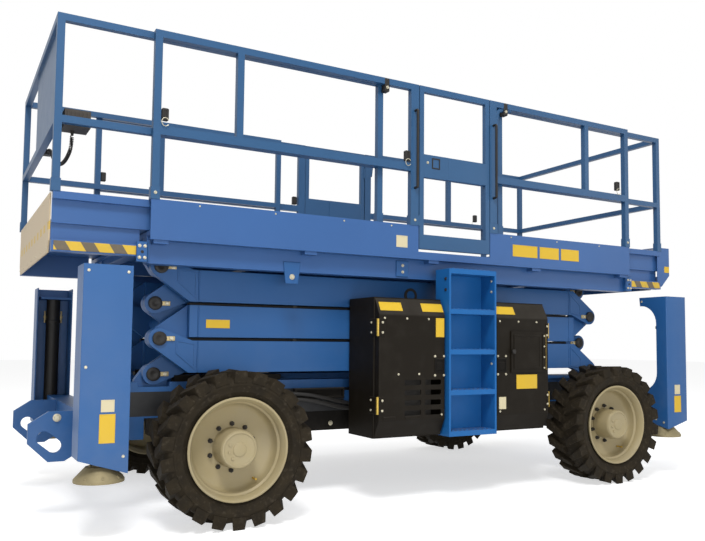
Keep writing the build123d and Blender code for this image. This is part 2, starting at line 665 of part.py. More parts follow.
# Tie-down plates with slanted slots on the end beams
TIE_DOWN_TIP = END_BEAM_X[1] + TIE_DOWN_LENGTH
with BuildPart() as tie_downs:
    for end in (1, -1):
        for side in (1, -1):
            with BuildSketch(side_plane(side * TIE_DOWN_Y + TIE_DOWN_THICK / 2)):
                low, high = TIE_DOWN_Z
                with BuildLine():
                    Polyline(
                        (end * END_BEAM_X[1], high),
                        (end * (TIE_DOWN_TIP - TIE_DOWN_BROW[0]), high),
                        (end * TIE_DOWN_TIP, high - TIE_DOWN_BROW[1]),
                        (end * TIE_DOWN_TIP, low + TIE_DOWN_CHIN[1]),
                        (end * (TIE_DOWN_TIP - TIE_DOWN_CHIN[0]), low),
                        (end * (END_BEAM_X[1] + TIE_DOWN_HEEL[0]), low),
                        (end * END_BEAM_X[1], low + TIE_DOWN_HEEL[1]),
                        close=True,
                    )
                make_face()
                slot_x = end * (TIE_DOWN_TIP - TIE_DOWN_SLOT_INSET)
                with Locations((slot_x, low + TIE_DOWN_SLOT_RISE)):
                    SlotOverall(*TIE_DOWN_SLOT, rotation=end * TIE_DOWN_SLOT_TURN, mode=Mode.SUBTRACT)
            extrude(amount=TIE_DOWN_THICK)
keep(tie_downs, "tie_down_plates")


# Outriggers: a cover, a jack barrel in it and a leg with a dished foot
def cover(x_range, wheel_end):
    """Three-sided cover, open inwards, with a slanted lower edge and a wheel-side cut."""
    x_low, x_high = x_range
    wheel_x = x_low if wheel_end < 0 else x_high
    far_x = x_high if wheel_end < 0 else x_low
    arched = wheel_end > 0
    with BuildPart() as piece:
        with BuildSketch(side_plane(COVER_OUTER_Y)) as face:
            with BuildLine():
                if arched:
                    ear_x = wheel_x + COVER_EAR_REACH
                    neck_z = COVER_TOP_Z - COVER_EAR_DEPTH
                    low = (wheel_x, COVER_LOW_Z + COVER_SLOPE)
                    neck = (wheel_x, neck_z)
                    ear = ((ear_x, COVER_TOP_Z), (ear_x, COVER_TOP_Z - COVER_EAR_LIP))
                    Polyline(low, (far_x, COVER_LOW_Z), (far_x, COVER_TOP_Z), *ear, neck)
                    SagittaArc(neck, low, COVER_ARCH_RISE)
                else:
                    Polyline(
                        (wheel_x, COVER_LOW_Z),
                        (far_x, COVER_LOW_Z + COVER_SLOPE),
                        (far_x, COVER_TOP_Z),
                        (wheel_x, COVER_TOP_Z),
                        close=True,
                    )
            make_face()
        extrude(amount=COVER_OUTER_Y - COVER_INNER_Y)
        inner = (x_low + COVER_WALL, x_high + 300) if arched else (x_low + COVER_WALL, x_high - COVER_WALL)
        block(inner, (COVER_INNER_Y, COVER_OUTER_Y - COVER_WALL), (0, COVER_TOP_Z + 1), Mode.SUBTRACT)
    return piece


def top_plate(piece, x_range, leg_x):
    """Plate inside a cover that the jack hangs from."""
    with BuildPart() as fitted:
        add(piece.part)
        plate_x = (x_range[0] + 1, leg_x + 2 * JACK_RADIUS)
        block(plate_x, (COVER_INNER_Y, COVER_OUTER_Y - 1), (JACK_TOP_Z, JACK_TOP_Z + JACK_PLATE_THICK))
    return fitted


front_cover = top_plate(cover(COVER_FRONT_X, -1), COVER_FRONT_X, LEG_FRONT_X)
keep(front_cover, "outrigger_cover_front_left")
mirrored(front_cover, "outrigger_cover_front_right")
rear_cover = top_plate(cover(COVER_REAR_X, 1), COVER_REAR_X, LEG_REAR_X)
keep(rear_cover, "outrigger_cover_rear_left")
mirrored(rear_cover, "outrigger_cover_rear_right")

JACK_BORE = JACK_RADIUS - JACK_WALL
with BuildPart() as jacks:
    for leg_x in (LEG_FRONT_X, LEG_REAR_X):
        for side in (1, -1):
            upright(leg_x, side * LEG_Y, JACK_RADIUS, JACK_BOTTOM_Z, JACK_TOP_Z)
            upright(leg_x, side * LEG_Y, JACK_BORE, JACK_BOTTOM_Z, JACK_TOP_Z - 40, Mode.SUBTRACT)
keep(jacks, "outrigger_jacks")

FOOT_TOP_Z = FOOT_LOW_Z + FOOT_HEIGHT
for end, leg_x in (("front", LEG_FRONT_X), ("rear", LEG_REAR_X)):
    with BuildPart() as leg:
        with BuildSketch(Plane(origin=(leg_x, LEG_Y, 0), x_dir=(1, 0, 0), z_dir=(0, -1, 0))):
            with BuildLine():
                Polyline(
                    (0, FOOT_LOW_Z),
                    (FOOT_RADIUS, FOOT_LOW_Z),
                    (FOOT_RADIUS, FOOT_LOW_Z + FOOT_LIP),
                    (FOOT_RADIUS * 0.55, FOOT_TOP_Z),
                    (JACK_BORE - LEG_CLEARANCE, FOOT_TOP_Z),
                    (JACK_BORE - LEG_CLEARANCE, JACK_TOP_Z - 60),
                    (0, JACK_TOP_Z - 60),
                    close=True,
                )
            make_face()
        revolve(axis=Axis((leg_x, LEG_Y, 0), (0, 0, 1)))
    keep(leg, f"outrigger_leg_{end}_left")
    mirrored(leg, f"outrigger_leg_{end}_right")


# Cabinets: sheet-metal boxes open on the outer side, closed by doors
def cabinet(x_range, cut):
    """A hollow cabinet; cut bevels its top corner away from the ladder."""
    with BuildPart() as piece:
        with BuildSketch(side_plane(CABINET_OUTER_Y)) as outline:
            cabinet_outline(x_range, cut, 0)
        extrude(amount=CABINET_OUTER_Y - CABINET_INNER_Y)
        with BuildSketch(side_plane(CABINET_OUTER_Y)):
            cabinet_outline(x_range, cut, CABINET_WALL)
        extrude(amount=CABINET_OUTER_Y - CABINET_INNER_Y - CABINET_WALL, mode=Mode.SUBTRACT)
    return piece


def cabinet_outline(x_range, cut, inset):
    """Side outline of a cabinet, or of what fits within it by an inset."""
    x_low, x_high = x_range[0] + inset, x_range[1] - inset
    low, high = CABINET_LOW_Z + inset, CABINET_TOP_Z - inset
    corners = [(x_low, low), (x_high, low), (x_high, high)]
    corners += [(x_low + cut, high), (x_low, high - cut)] if cut else [(x_low, high)]
    with BuildLine() as outline:
        Polyline(*corners, close=True)
    make_face(outline.edges())


def door(x_range, cut, hinge_x, grille):
    """A flat door over a cabinet's mouth, with hinge barrels on its hinge line."""
    face_y = CABINET_OUTER_Y + DOOR_GAP
    with BuildPart() as piece:
        with BuildSketch(side_plane(face_y + DOOR_THICK)):
            cabinet_outline(x_range, cut, DOOR_MARGIN)
            if grille:
                with Locations(GRILLE_CENTRE):
                    with GridLocations(*GRILLE_PITCH, GRILLE_COLUMNS, GRILLE_ROWS):
                        Rectangle(*GRILLE_SLOT, mode=Mode.SUBTRACT)
        extrude(amount=DOOR_THICK)
        for low in (CABINET_LOW_Z + HINGE_INSET, CABINET_TOP_Z - 2 * HINGE_INSET - HINGE_LENGTH / 2):
            upright(hinge_x, face_y + HINGE_RADIUS, HINGE_RADIUS, low, low + HINGE_LENGTH)
    return piece


FRONT_HINGE_X = FRONT_CABINET_X[1] - 2
REAR_HINGE_X = REAR_CABINET_X[0] + 2
front_cabinet = cabinet(FRONT_CABINET_X, 0)
keep(front_cabinet, "cabinet_front_left")
mirrored(front_cabinet, "cabinet_front_right")
rear_cabinet = cabinet(REAR_CABINET_X, REAR_CABINET_CUT)
keep(rear_cabinet, "cabinet_rear_left")
mirrored(rear_cabinet, "cabinet_rear_right")
front_door = door(FRONT_CABINET_X, 0, FRONT_HINGE_X, True)
keep(front_door, "door_front_left")
mirrored(front_door, "door_front_right")
rear_door = door(REAR_CABINET_X, REAR_CABINET_CUT, REAR_HINGE_X, False)
keep(rear_door, "door_rear_left")
mirrored(rear_door, "door_rear_right")

DOOR_FACE_Y = CABINET_OUTER_Y + DOOR_GAP + DOOR_THICK
with BuildPart() as small_door:
    small_y = DOOR_FACE_Y + DOOR_GAP
    block(SMALL_DOOR_X, (small_y, small_y + SMALL_DOOR_THICK), SMALL_DOOR_Z)
    upright(SMALL_DOOR_X[0] - 3, small_y + 5, 5, SMALL_DOOR_Z[0] + 10, SMALL_DOOR_Z[1] - 10)
keep(small_door, "control_hatch")

with BuildPart() as engine:
    engine_low = CABINET_LOW_Z + CABINET_WALL
    engine_x = (sum(FRONT_CABINET_X) - ENGINE_SIZE[0]) / 2
    engine_y = CABINET_INNER_Y + CABINET_WALL + 20
    block(
        (engine_x, engine_x + ENGINE_SIZE[0]),
        (engine_y, engine_y + ENGINE_SIZE[1]),
        (engine_low, engine_low + ENGINE_SIZE[2]),
    )
keep(engine, "engine_block")

# Ladders: folded stringers with five treads, on arms from the chassis rails
with BuildPart() as ladders:
    for stringer in (LADDER_X[0], LADDER_X[1] - LADDER_WALL):
        block((stringer, stringer + LADDER_WALL), LADDER_Y, (LADDER_LOW_Z, LADDER_TOP_Z))
    tread_pitch = (LADDER_TOP_Z - LADDER_LOW_Z - LADDER_TREAD_THICK) / (LADDER_TREADS - 1)
    for tread in range(LADDER_TREADS):
        tread_z = LADDER_LOW_Z + tread * tread_pitch
        block(LADDER_X, LADDER_Y, (tread_z, tread_z + LADDER_TREAD_THICK))
    for arm_x in (LADDER_X[0] + LADDER_ARM_INSET, LADDER_X[1] - LADDER_ARM_INSET):
        arm = (arm_x - LADDER_ARM_WIDTH / 2, arm_x + LADDER_ARM_WIDTH / 2)
        block(arm, (FRAME_OUTER_Y, LADDER_Y[0] + LADDER_ARM_LAP), LADDER_ARM_Z)
    mirror(about=Plane.XZ)
keep(ladders, "ladders")

# Platform deck: floor, folded side skirts with a dip at each gate, tracks and pin brackets
MAIN_X = (MAIN_REAR_X, MAIN_FRONT_X)
with BuildPart() as platform_deck:
    inside = PLATFORM_HALF_WIDTH - SKIRT_WALL
    block(MAIN_X, (-inside, inside), (FLOOR_LOW_Z, FLOOR_TOP_Z))
    with BuildSketch(cross_plane(MAIN_REAR_X)):
        bar((inside, SKIRT_LOW_Z), (PLATFORM_HALF_WIDTH, TOE_TOP_Z))
        flange_y = PLATFORM_HALF_WIDTH - SKIRT_FLANGE
        bar((flange_y, TOE_TOP_Z - SKIRT_FLANGE_THICK), (PLATFORM_HALF_WIDTH, TOE_TOP_Z))
        bar((flange_y, SKIRT_LOW_Z), (PLATFORM_HALF_WIDTH, SKIRT_LOW_Z + SKIRT_FLANGE_THICK))
        mirror(about=Plane.YZ)
    extrude(amount=MAIN_FRONT_X - MAIN_REAR_X)
    dip_z = (FLOOR_TOP_Z, TOE_TOP_Z + 1)
    dip_y = (-PLATFORM_HALF_WIDTH - 1, PLATFORM_HALF_WIDTH + 1)
    block(GATE_X, dip_y, dip_z, Mode.SUBTRACT)
    beam_top = FLOOR_LOW_Z
    for side in (1, -1):
        low, high = slice_y(INNER_ARM_Y, False)
        track_y = sorted((side * low, side * high))
        track_x = (PIN_REAR_X - 150, PIN_REAR_X + ROLLER_TRAVEL + 150)
        block(track_x, track_y, (TRACK_BOTTOM_Z, beam_top))
        low, high = slice_y(OUTER_ARM_Y, False)
        bracket_y = sorted((side * low, side * high))
        block((PIN_FRONT_X - DECK_BRACKET_LENGTH, MAIN_FRONT_X - 10), bracket_y, (TRACK_BOTTOM_Z, beam_top))
        with BuildSketch(side_plane(bracket_y[1])):
            with Locations((PIN_FRONT_X, PIN_Z[3])):
                Circle(BRACKET_ROUND)
            with Locations((PIN_FRONT_X, TRACK_BOTTOM_Z + 10)):
                Rectangle(BRACKET_FOOT, 20)
            make_hull()
        extrude(amount=bracket_y[1] - bracket_y[0])
        hole = PIN_RADIUS + PIN_CLEARANCE
        across(PIN_FRONT_X, PIN_Z[3], hole, bracket_y[0] - 1, bracket_y[1] + 1, Mode.SUBTRACT)
        side_y = sorted((side * SIDE_BEAM_Y[0], side * SIDE_BEAM_Y[1]))
        block(MAIN_X, side_y, (FLOOR_LOW_Z - SIDE_BEAM_DROP, FLOOR_LOW_Z))
    beam_pitch = (MAIN_FRONT_X - MAIN_REAR_X - 2 * CROSS_BEAM_INSET) / (CROSS_BEAM_COUNT - 1)
    for number in range(CROSS_BEAM_COUNT):
        beam_x = MAIN_REAR_X + CROSS_BEAM_INSET + number * beam_pitch
        beam = (beam_x - CROSS_BEAM_WIDTH / 2, beam_x + CROSS_BEAM_WIDTH / 2)
        block(beam, (-inside, inside), (FLOOR_LOW_Z - CROSS_BEAM_DROP, FLOOR_LOW_Z))
keep(platform_deck, "platform_deck")


# Guardrails of the main deck, left and right, with a gate opening in each
def main_rail():
    """One side's rails: a length each side of the gate."""
    high = RAIL_TOP_Z
    top = high - RAIL_SIZE
    mid = (MID_RAIL_Z, MID_RAIL_Z + MID_RAIL_HEIGHT)
    foot = POST_FOOT_Z
    with BuildPart() as piece:
        with BuildSketch(side_plane(PLATFORM_HALF_WIDTH)):
            lengths = ((GATE_X[1], MAIN_FRONT_X, MINI_POST_X[0]), (MAIN_REAR_X, GATE_X[0], MINI_POST_X[1]))
            for x_low, x_high, mini in lengths:
                bar((x_low, top), (x_high, high))
                bar((x_low, mid[0]), (x_high, mid[1]))
                bar((mini - RAIL_SIZE / 2, mid[0]), (mini + RAIL_SIZE / 2, top))
            bar((MAIN_FRONT_X - RAIL_SIZE, foot), (MAIN_FRONT_X, top))
            bar((MAIN_REAR_X, foot), (MAIN_REAR_X + RAIL_SIZE, top))
            bar((GATE_X[1], foot), (GATE_X[1] + GATE_POST_WIDTH, top))
            bar((GATE_X[0] - GATE_POST_WIDTH, foot), (GATE_X[0], top))
        extrude(amount=RAIL_SIZE)
    return piece


rail_left = main_rail()
keep(rail_left, "rail_left")
mirrored(rail_left, "rail_right")

# Entry gate: a framed leaf with a middle panel and a toe panel
with BuildPart() as gate_left:
    gate_low_x = GATE_X[0] + GATE_GAP
    gate_high_x = GATE_X[1] - GATE_GAP
    with BuildSketch(side_plane(PLATFORM_HALF_WIDTH)):
        bar((gate_low_x, GATE_LOW_Z), (gate_low_x + GATE_BAR, RAIL_TOP_Z))
        bar((gate_high_x - GATE_BAR, GATE_LOW_Z), (gate_high_x, RAIL_TOP_Z))
        bar((gate_low_x, RAIL_TOP_Z - RAIL_SIZE), (gate_high_x, RAIL_TOP_Z))
        bar((gate_high_x - GATE_PANEL_LENGTH, GATE_PANEL_Z[0]), (gate_high_x, GATE_PANEL_Z[1]))
        bar((gate_low_x, MID_RAIL_Z), (gate_high_x, MID_RAIL_Z + MID_RAIL_HEIGHT))
        bar((gate_low_x, GATE_LOW_Z), (gate_high_x, GATE_LOW_Z + GATE_TOE_HEIGHT))
    extrude(amount=GATE_BAR)
    hinge_y = PLATFORM_HALF_WIDTH - GATE_BAR + 8
    for low in (GATE_LOW_Z + 120, RAIL_TOP_Z - 220):
        upright(GATE_X[0] + 8, hinge_y - 8, 8 - PIN_CLEARANCE, low, low + 90)
keep(gate_left, "gate_left")
mirrored(gate_left, "gate_right")


# Deck extensions: a sliding floor with toe boards, and rails that nest inside the main rails
def extension_deck(end_x, inner_x, skid_end):
    """A sliding deck with side toe boards, pads on the main floor and side skids."""
    x_range = sorted((end_x, inner_x))
    tube_inner_y = EXT_RAIL_OUTER_Y - EXT_TOE_TUBE
    floor_y = tube_inner_y + EXT_TOE_WALL
    with BuildPart() as piece:
        block(x_range, (-floor_y, floor_y), (EXT_FLOOR_LOW_Z, EXT_FLOOR_TOP_Z))
        pad_end = MAIN_FRONT_X - EXT_PAD_END if end_x > 0 else MAIN_REAR_X + EXT_PAD_END
        pad_x = sorted((inner_x, pad_end))
        for pad_y in EXT_PAD_Y:
            pad = (pad_y - EXT_PAD_WIDTH / 2, pad_y + EXT_PAD_WIDTH / 2)
            block(pad_x, pad, (FLOOR_TOP_Z + EXT_PAD_GAP, EXT_FLOOR_LOW_Z))
        with BuildSketch(cross_plane(x_range[0])):
            bar((tube_inner_y, EXT_FLOOR_LOW_Z), (floor_y, TOE_TOP_Z))
            bar((tube_inner_y, TOE_TOP_Z - EXT_TOE_TUBE), (EXT_RAIL_OUTER_Y, TOE_TOP_Z))
            mirror(about=Plane.YZ)
        extrude(amount=x_range[1] - x_range[0])
        skid_x = sorted((end_x, skid_end))
        with BuildSketch(cross_plane(skid_x[0])):
            bar((floor_y - SKID_HANGER_INSET, SKID_LOW_Z), (EXT_RAIL_OUTER_Y, SKID_LOW_Z + SKID_HEIGHT))
            hanger = floor_y - SKID_HANGER_INSET
            bar((hanger, SKID_LOW_Z + SKID_HEIGHT), (hanger + SKID_HANGER_THICK, EXT_FLOOR_LOW_Z))
            mirror(about=Plane.YZ)
        extrude(amount=skid_x[1] - skid_x[0])
    return piece


def extension_rails(end_x, inner_x):
    """Side rails and an end rail round an extension deck."""
    sign = 1 if end_x > 0 else -1
    high = RAIL_TOP_Z
    top = high - EXT_RAIL_SIZE
    mid = (MID_RAIL_Z + 4, MID_RAIL_Z + 4 + EXT_RAIL_SIZE)
    x_range = sorted((end_x, inner_x))
    with BuildPart() as piece:
        with BuildSketch(side_plane(EXT_RAIL_OUTER_Y)):
            bar((x_range[0], top), (x_range[1], high))
            bar((x_range[0], mid[0]), (x_range[1], mid[1]))
            for post in (x_range[0], x_range[1] - EXT_RAIL_SIZE):
                bar((post, POST_FOOT_Z), (post + EXT_RAIL_SIZE, top))
        extrude(amount=EXT_RAIL_SIZE)
        mirror(about=Plane.XZ)
        end_low = end_x - EXT_RAIL_SIZE if sign > 0 else end_x
        with BuildSketch(cross_plane(end_low)):
            bar((-EXT_RAIL_INNER_Y, top), (EXT_RAIL_INNER_Y, high))
            bar((-EXT_RAIL_INNER_Y, mid[0]), (EXT_RAIL_INNER_Y, mid[1]))
        extrude(amount=EXT_RAIL_SIZE)
    return piece


FRONT_DECK_X = EXT_FRONT_X - END_PLATE_THICK
REAR_DECK_X = EXT_REAR_X + END_PLATE_THICK
front_deck = extension_deck(FRONT_DECK_X, FRONT_EXT_INNER_X, MAIN_FRONT_X + SKID_GAP)
keep(front_deck, "front_extension_deck")
rear_deck = extension_deck(REAR_DECK_X, REAR_EXT_INNER_X, MAIN_REAR_X - SKID_GAP)
keep(rear_deck, "rear_extension_deck")
front_rails = extension_rails(EXT_FRONT_X, FRONT_EXT_INNER_X)
with BuildPart() as panelled_rails:
    add(front_rails.part)
    panel_x = EXT_FRONT_X - EXT_RAIL_SIZE / 2 - FRONT_PANEL_THICK
    panel_z = (MID_RAIL_Z + RAIL_SIZE, RAIL_TOP_Z - EXT_RAIL_SIZE / 2)
    block((panel_x, panel_x + FRONT_PANEL_THICK), FRONT_PANEL_Y, panel_z)
keep(panelled_rails, "front_extension_rails")
keep(extension_rails(EXT_REAR_X, REAR_EXT_INNER_X), "rear_extension_rails")


def end_plate(face_x):
    """Sheet that closes the end of an extension, narrower at its lower edge."""
    with BuildPart() as piece:
        with BuildSketch(cross_plane(face_x)):
            with BuildLine():
                Polyline(
                    (-END_PLATE_LOW_HALF, SKID_LOW_Z),
                    (END_PLATE_LOW_HALF, SKID_LOW_Z),
                    (END_PLATE_HALF, SKID_LOW_Z + 60),
                    (END_PLATE_HALF, TOE_TOP_Z),
                    (-END_PLATE_HALF, TOE_TOP_Z),
                    (-END_PLATE_HALF, SKID_LOW_Z + 60),
                    close=True,
                )
            make_face()
        extrude(amount=END_PLATE_THICK)
    return piece


keep(end_plate(FRONT_DECK_X), "front_end_plate")
keep(end_plate(EXT_REAR_X), "rear_end_plate")

# Platform control box, hung inside the left rail of the front extension
with BuildPart() as control_box:
    box_x = EXT_FRONT_X - EXT_RAIL_SIZE - 16
    box_top = MID_RAIL_Z + 90
    block(
        (box_x - CONTROL_BOX[0], box_x),
        (EXT_RAIL_INNER_Y - CONTROL_BOX[1], EXT_RAIL_INNER_Y),
        (box_top - CONTROL_BOX[2], box_top),
    )
keep(control_box, "control_box")

# Cord socket behind the front middle rail, and the curly cord that hangs from box to socket
SOCKET_X = EXT_FRONT_X - EXT_RAIL_SIZE
with BuildPart() as cord_socket:
    block(
        (SOCKET_X - SOCKET_SIZE[0], SOCKET_X),
        (SOCKET_Y - SOCKET_SIZE[1], SOCKET_Y),
        (SOCKET_Z - SOCKET_SIZE[2] / 2, SOCKET_Z + SOCKET_SIZE[2] / 2),
    )
keep(cord_socket, "cord_socket")

CORD_ROUTE = [
    (2296, SOCKET_Y, SOCKET_Z),
    (2296, 165, SOCKET_Z),
    (2295, 260, SOCKET_Z - 43),
    (2291, 360, SOCKET_Z - 103),
    (2284, 460, SOCKET_Z - 148),
    (2272, 560, SOCKET_Z - 168),
    (2258, 650, SOCKET_Z - 150),
    (2246, 720, SOCKET_Z - 98),
    (2246, 720, MID_RAIL_Z),
]
CORD_ROUND = 0.45


def bend_radii(route):
    """The largest arc that each corner of a route has room for."""
    radii = []
    for before, corner, after in zip(route, route[1:], route[2:]):
        into = Vector(*corner) - Vector(*before)
        out = Vector(*after) - Vector(*corner)
        half_turn = radians(into.get_angle(out)) / 2
        radii.append(CORD_ROUND * min(into.length, out.length) / tan(half_turn))
    return radii


with BuildPart() as control_cord:
    with BuildLine() as route_line:
        FilletPolyline(*CORD_ROUTE, radius=bend_radii(CORD_ROUTE))
    with BuildSketch(Plane(origin=CORD_ROUTE[0], x_dir=(1, 0, 0), z_dir=(0, 1, 0))):
        Circle(CORD_DIAMETER / 2)
    sweep()
keep(control_cord, "control_cord")
print("cord radii", [round(radius) for radius in bend_radii(CORD_ROUTE)])
print("cord length", round(sum(edge.length for edge in route_line.edges())))
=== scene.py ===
"""Looks of the rough-terrain scissor lift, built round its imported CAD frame."""
from math import cos, pi, radians, sin, tau

import bmesh
import bpy
from mathutils import Matrix, Vector


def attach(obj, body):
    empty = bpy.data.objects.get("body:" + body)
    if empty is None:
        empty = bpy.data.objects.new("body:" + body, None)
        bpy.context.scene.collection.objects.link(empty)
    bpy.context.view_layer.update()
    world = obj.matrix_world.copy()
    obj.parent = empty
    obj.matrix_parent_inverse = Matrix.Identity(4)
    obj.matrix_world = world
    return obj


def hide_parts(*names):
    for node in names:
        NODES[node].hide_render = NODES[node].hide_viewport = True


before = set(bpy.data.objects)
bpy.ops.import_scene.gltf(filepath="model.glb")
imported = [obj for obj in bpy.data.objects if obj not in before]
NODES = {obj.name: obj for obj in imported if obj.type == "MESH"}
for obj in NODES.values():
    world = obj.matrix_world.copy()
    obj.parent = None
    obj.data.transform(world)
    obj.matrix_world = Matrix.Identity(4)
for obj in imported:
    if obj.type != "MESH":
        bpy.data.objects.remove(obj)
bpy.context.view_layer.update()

# Camera that matches the photograph, in pixels of its 705 by 541 frame
PHOTO_WIDTH = 705
PHOTO_HEIGHT = 541
FOCAL_PIXELS = 754.2
CENTRE_PIXEL = (382.3, 294.4)
CAMERA_PLACE = (2.814, 5.0, 0.982)
CAMERA_YAW = radians(30.32)
CAMERA_PITCH = radians(3.79)
CAMERA_ROLL = radians(0.43)
SENSOR_WIDTH = 36.0


def place_camera():
    """Stand the camera where the photograph was taken from."""
    forward = Vector((
        -sin(CAMERA_YAW) * cos(CAMERA_PITCH),
        -cos(CAMERA_YAW) * cos(CAMERA_PITCH),
        sin(CAMERA_PITCH),
    ))
    level_right = forward.cross(Vector((0, 0, 1))).normalized()
    level_up = level_right.cross(forward)
    right = level_right * cos(CAMERA_ROLL) + level_up * sin(CAMERA_ROLL)
    up = level_up * cos(CAMERA_ROLL) - level_right * sin(CAMERA_ROLL)
    data = bpy.data.cameras.new("photo_camera")
    data.sensor_width = SENSOR_WIDTH
    data.lens = FOCAL_PIXELS / PHOTO_WIDTH * SENSOR_WIDTH
    data.shift_x = (PHOTO_WIDTH / 2 - CENTRE_PIXEL[0]) / PHOTO_WIDTH
    data.shift_y = (CENTRE_PIXEL[1] - PHOTO_HEIGHT / 2) / PHOTO_WIDTH
    camera = bpy.data.objects.new("photo_camera", data)
    bpy.context.scene.collection.objects.link(camera)
    turn = Matrix((right, up, -forward)).transposed().to_4x4()
    camera.matrix_world = Matrix.Translation(CAMERA_PLACE) @ turn
    bpy.context.scene.camera = camera


place_camera()


# Shader maths: a socket that adds its own nodes
class Wire:
    """A shader socket that can be used in Python sums."""

    def __init__(self, finish, socket):
        self.finish = finish
        self.socket = socket

    def maths(self, operation, first, second=0.0):
        return self.finish.node("ShaderNodeMath", {"operation": operation}, {0: first, 1: second})

    def __add__(self, other):
        return self.maths("ADD", self, other)

    def __radd__(self, other):
        return self.maths("ADD", other, self)

    def __sub__(self, other):
        return self.maths("SUBTRACT", self, other)

    def __rsub__(self, other):
        return self.maths("SUBTRACT", other, self)

    def __mul__(self, other):
        return self.maths("MULTIPLY", self, other)

    def __rmul__(self, other):
        return self.maths("MULTIPLY", other, self)

    def __truediv__(self, other):
        return self.maths("DIVIDE", self, other)

    def __gt__(self, other):
        return self.maths("GREATER_THAN", self, other)

    def __lt__(self, other):
        return self.maths("LESS_THAN", self, other)

    def wave(self):
        return self.maths("SINE", self)

    def size(self):
        return self.maths("ABSOLUTE", self)

    def part(self):
        return self.maths("FRACT", self)

    def least(self, other):
        return self.maths("MINIMUM", self, other)

    def most(self, other):
        return self.maths("MAXIMUM", self, other)


EDGE_ROUND = 0.0025
EDGE_SAMPLES = 4


class Finish:
    """One procedural material on object coordinates, or the nodes of a world."""

    def __init__(self, name, shelf=bpy.data.materials):
        self.material = shelf.new(name)
        self.material.use_nodes = True
        self.tree = self.material.node_tree
        self.tree.nodes.clear()
        self.place = self.node("ShaderNodeTexCoord", out="Object")

    def node(self, kind, settings=None, inputs=None, out=0):
        """Add a node: its settings first, then the values or links of its sockets."""
        made = self.tree.nodes.new(kind)
        for key, value in (settings or {}).items():
            if key == "stops":
                self.set_stops(made.color_ramp, value)
            else:
                setattr(made, key, value)
        for key, value in (inputs or {}).items():
            socket = made.inputs[key]
            if isinstance(value, Wire):
                self.tree.links.new(value.socket, socket)
            else:
                socket.default_value = value
        return Wire(self, made.outputs[out]) if len(made.outputs) else None

    @staticmethod
    def set_stops(ramp, stops):
        """Give a colour ramp its stops, each a place and a colour."""
        while len(ramp.elements) > len(stops):
            ramp.elements.remove(ramp.elements[-1])
        while len(ramp.elements) < len(stops):
            ramp.elements.new(1.0)
        for element, (place, colour) in zip(ramp.elements, stops):
            element.position = place
            element.color = colour

    def noise(self, scale, detail=4.0, roughness=0.55):
        """Soft noise from 0 to 1, scale in bumps a metre."""
        values = {"Vector": self.place, "Scale": scale, "Detail": detail, "Roughness": roughness}
        return self.node("ShaderNodeTexNoise", {}, values)

    def patches(self, scale, low, high, detail=4.0):
        """Noise cut to clear patches between low and high."""
        stops = [(low, (0, 0, 0, 1)), (high, (1, 1, 1, 1))]
        return self.node("ShaderNodeValToRGB", {"stops": stops}, {0: self.noise(scale, detail)})

    def axis(self, letter):
        """One object coordinate, in metres."""
        return self.node("ShaderNodeSeparateXYZ", {}, {0: self.place}, out="XYZ".index(letter))

    def blend(self, mask, first, second):
        """Colour that goes from first to second as the mask goes from 0 to 1."""
        settings = {"data_type": "RGBA"}
        return self.node("ShaderNodeMix", settings, {0: mask, 6: colour(first), 7: colour(second)}, out=2)

    def bump(self, height, strength, distance):
        """Relief from a height, over edges that are rounded off a little."""
        rounded = self.node("ShaderNodeBevel", {"samples": EDGE_SAMPLES}, {"Radius": EDGE_ROUND})
        values = {"Height": height, "Strength": strength, "Distance": distance, "Normal": rounded}
        return self.node("ShaderNodeBump", {}, values)

    def seen_plainly(self):
        """1 for the camera and for reflections, 0 for the light that falls on surfaces."""
        straight = self.node("ShaderNodeLightPath", out="Is Camera Ray")
        mirrored = self.node("ShaderNodeLightPath", out="Is Glossy Ray")
        through = self.node("ShaderNodeLightPath", out="Is Transmission Ray")
        return straight.most(mirrored).most(through)

    def done(self, **sockets):
        """Finish with one shader; names use underscores for spaces."""
        values = {name.replace("_", " "): value for name, value in sockets.items()}
        values["Base Color"] = colour(values["Base Color"])
        shader = self.node("ShaderNodeBsdfPrincipled", {}, values)
        self.node("ShaderNodeOutputMaterial", {}, {"Surface": shader})
        return self.material


def colour(value):
    """A plain colour with its alpha, or a wire as it is."""
    return value if isinstance(value, Wire) else (*value, 1.0)


def shade(tone, factor):
    """A colour made lighter or darker."""
    return tuple(part * factor for part in tone)


# Finishes: tones, then one function for each kind of surface
BLUE = (0.0165, 0.090, 0.260)
DECK_BLUE = (0.031, 0.100, 0.275)
LADDER_BLUE = (0.011, 0.112, 0.335)
RAIL_BLUE = (0.021, 0.079, 0.180)
YELLOW = (0.62, 0.40, 0.022)
STRIPE_DARK = (0.105, 0.082, 0.05)
STRIPE_WORN = (0.24, 0.19, 0.1)
SHEET = (0.58, 0.460, 0.295)
DUST = (0.30, 0.29, 0.27)
# Paler tone for upward powder-coat faces: settled dust together with painted top light.
DUST_AND_TOP_LIGHT_TONE = (0.16, 0.145, 0.125)
TYRE_DIRT = (0.10, 0.082, 0.06)
DECK_DIRT = (0.09, 0.1, 0.11)
BARE_STEEL = (0.33, 0.33, 0.32)
CHROME = (0.66, 0.67, 0.68)
OILY_CHROME = (0.50, 0.49, 0.47)
DUST_LINE_Z = 1.3
BRUSH_SCALE = (1.0, 120.0, 1.5)
BLOCK_ROW_Z = (1.562, 1.606)
BLOCK_PITCH = 0.16
BLOCK_LEAN = 1.2
BLOCK_SHARE = 0.48
STRIPE_SHARE = 0.53
TONE_SPLIT_Z = 0.70
TONE_LOW_Z = 0.56
TONE_HALF_X = 1.30
TREAD_PITCH = 0.034


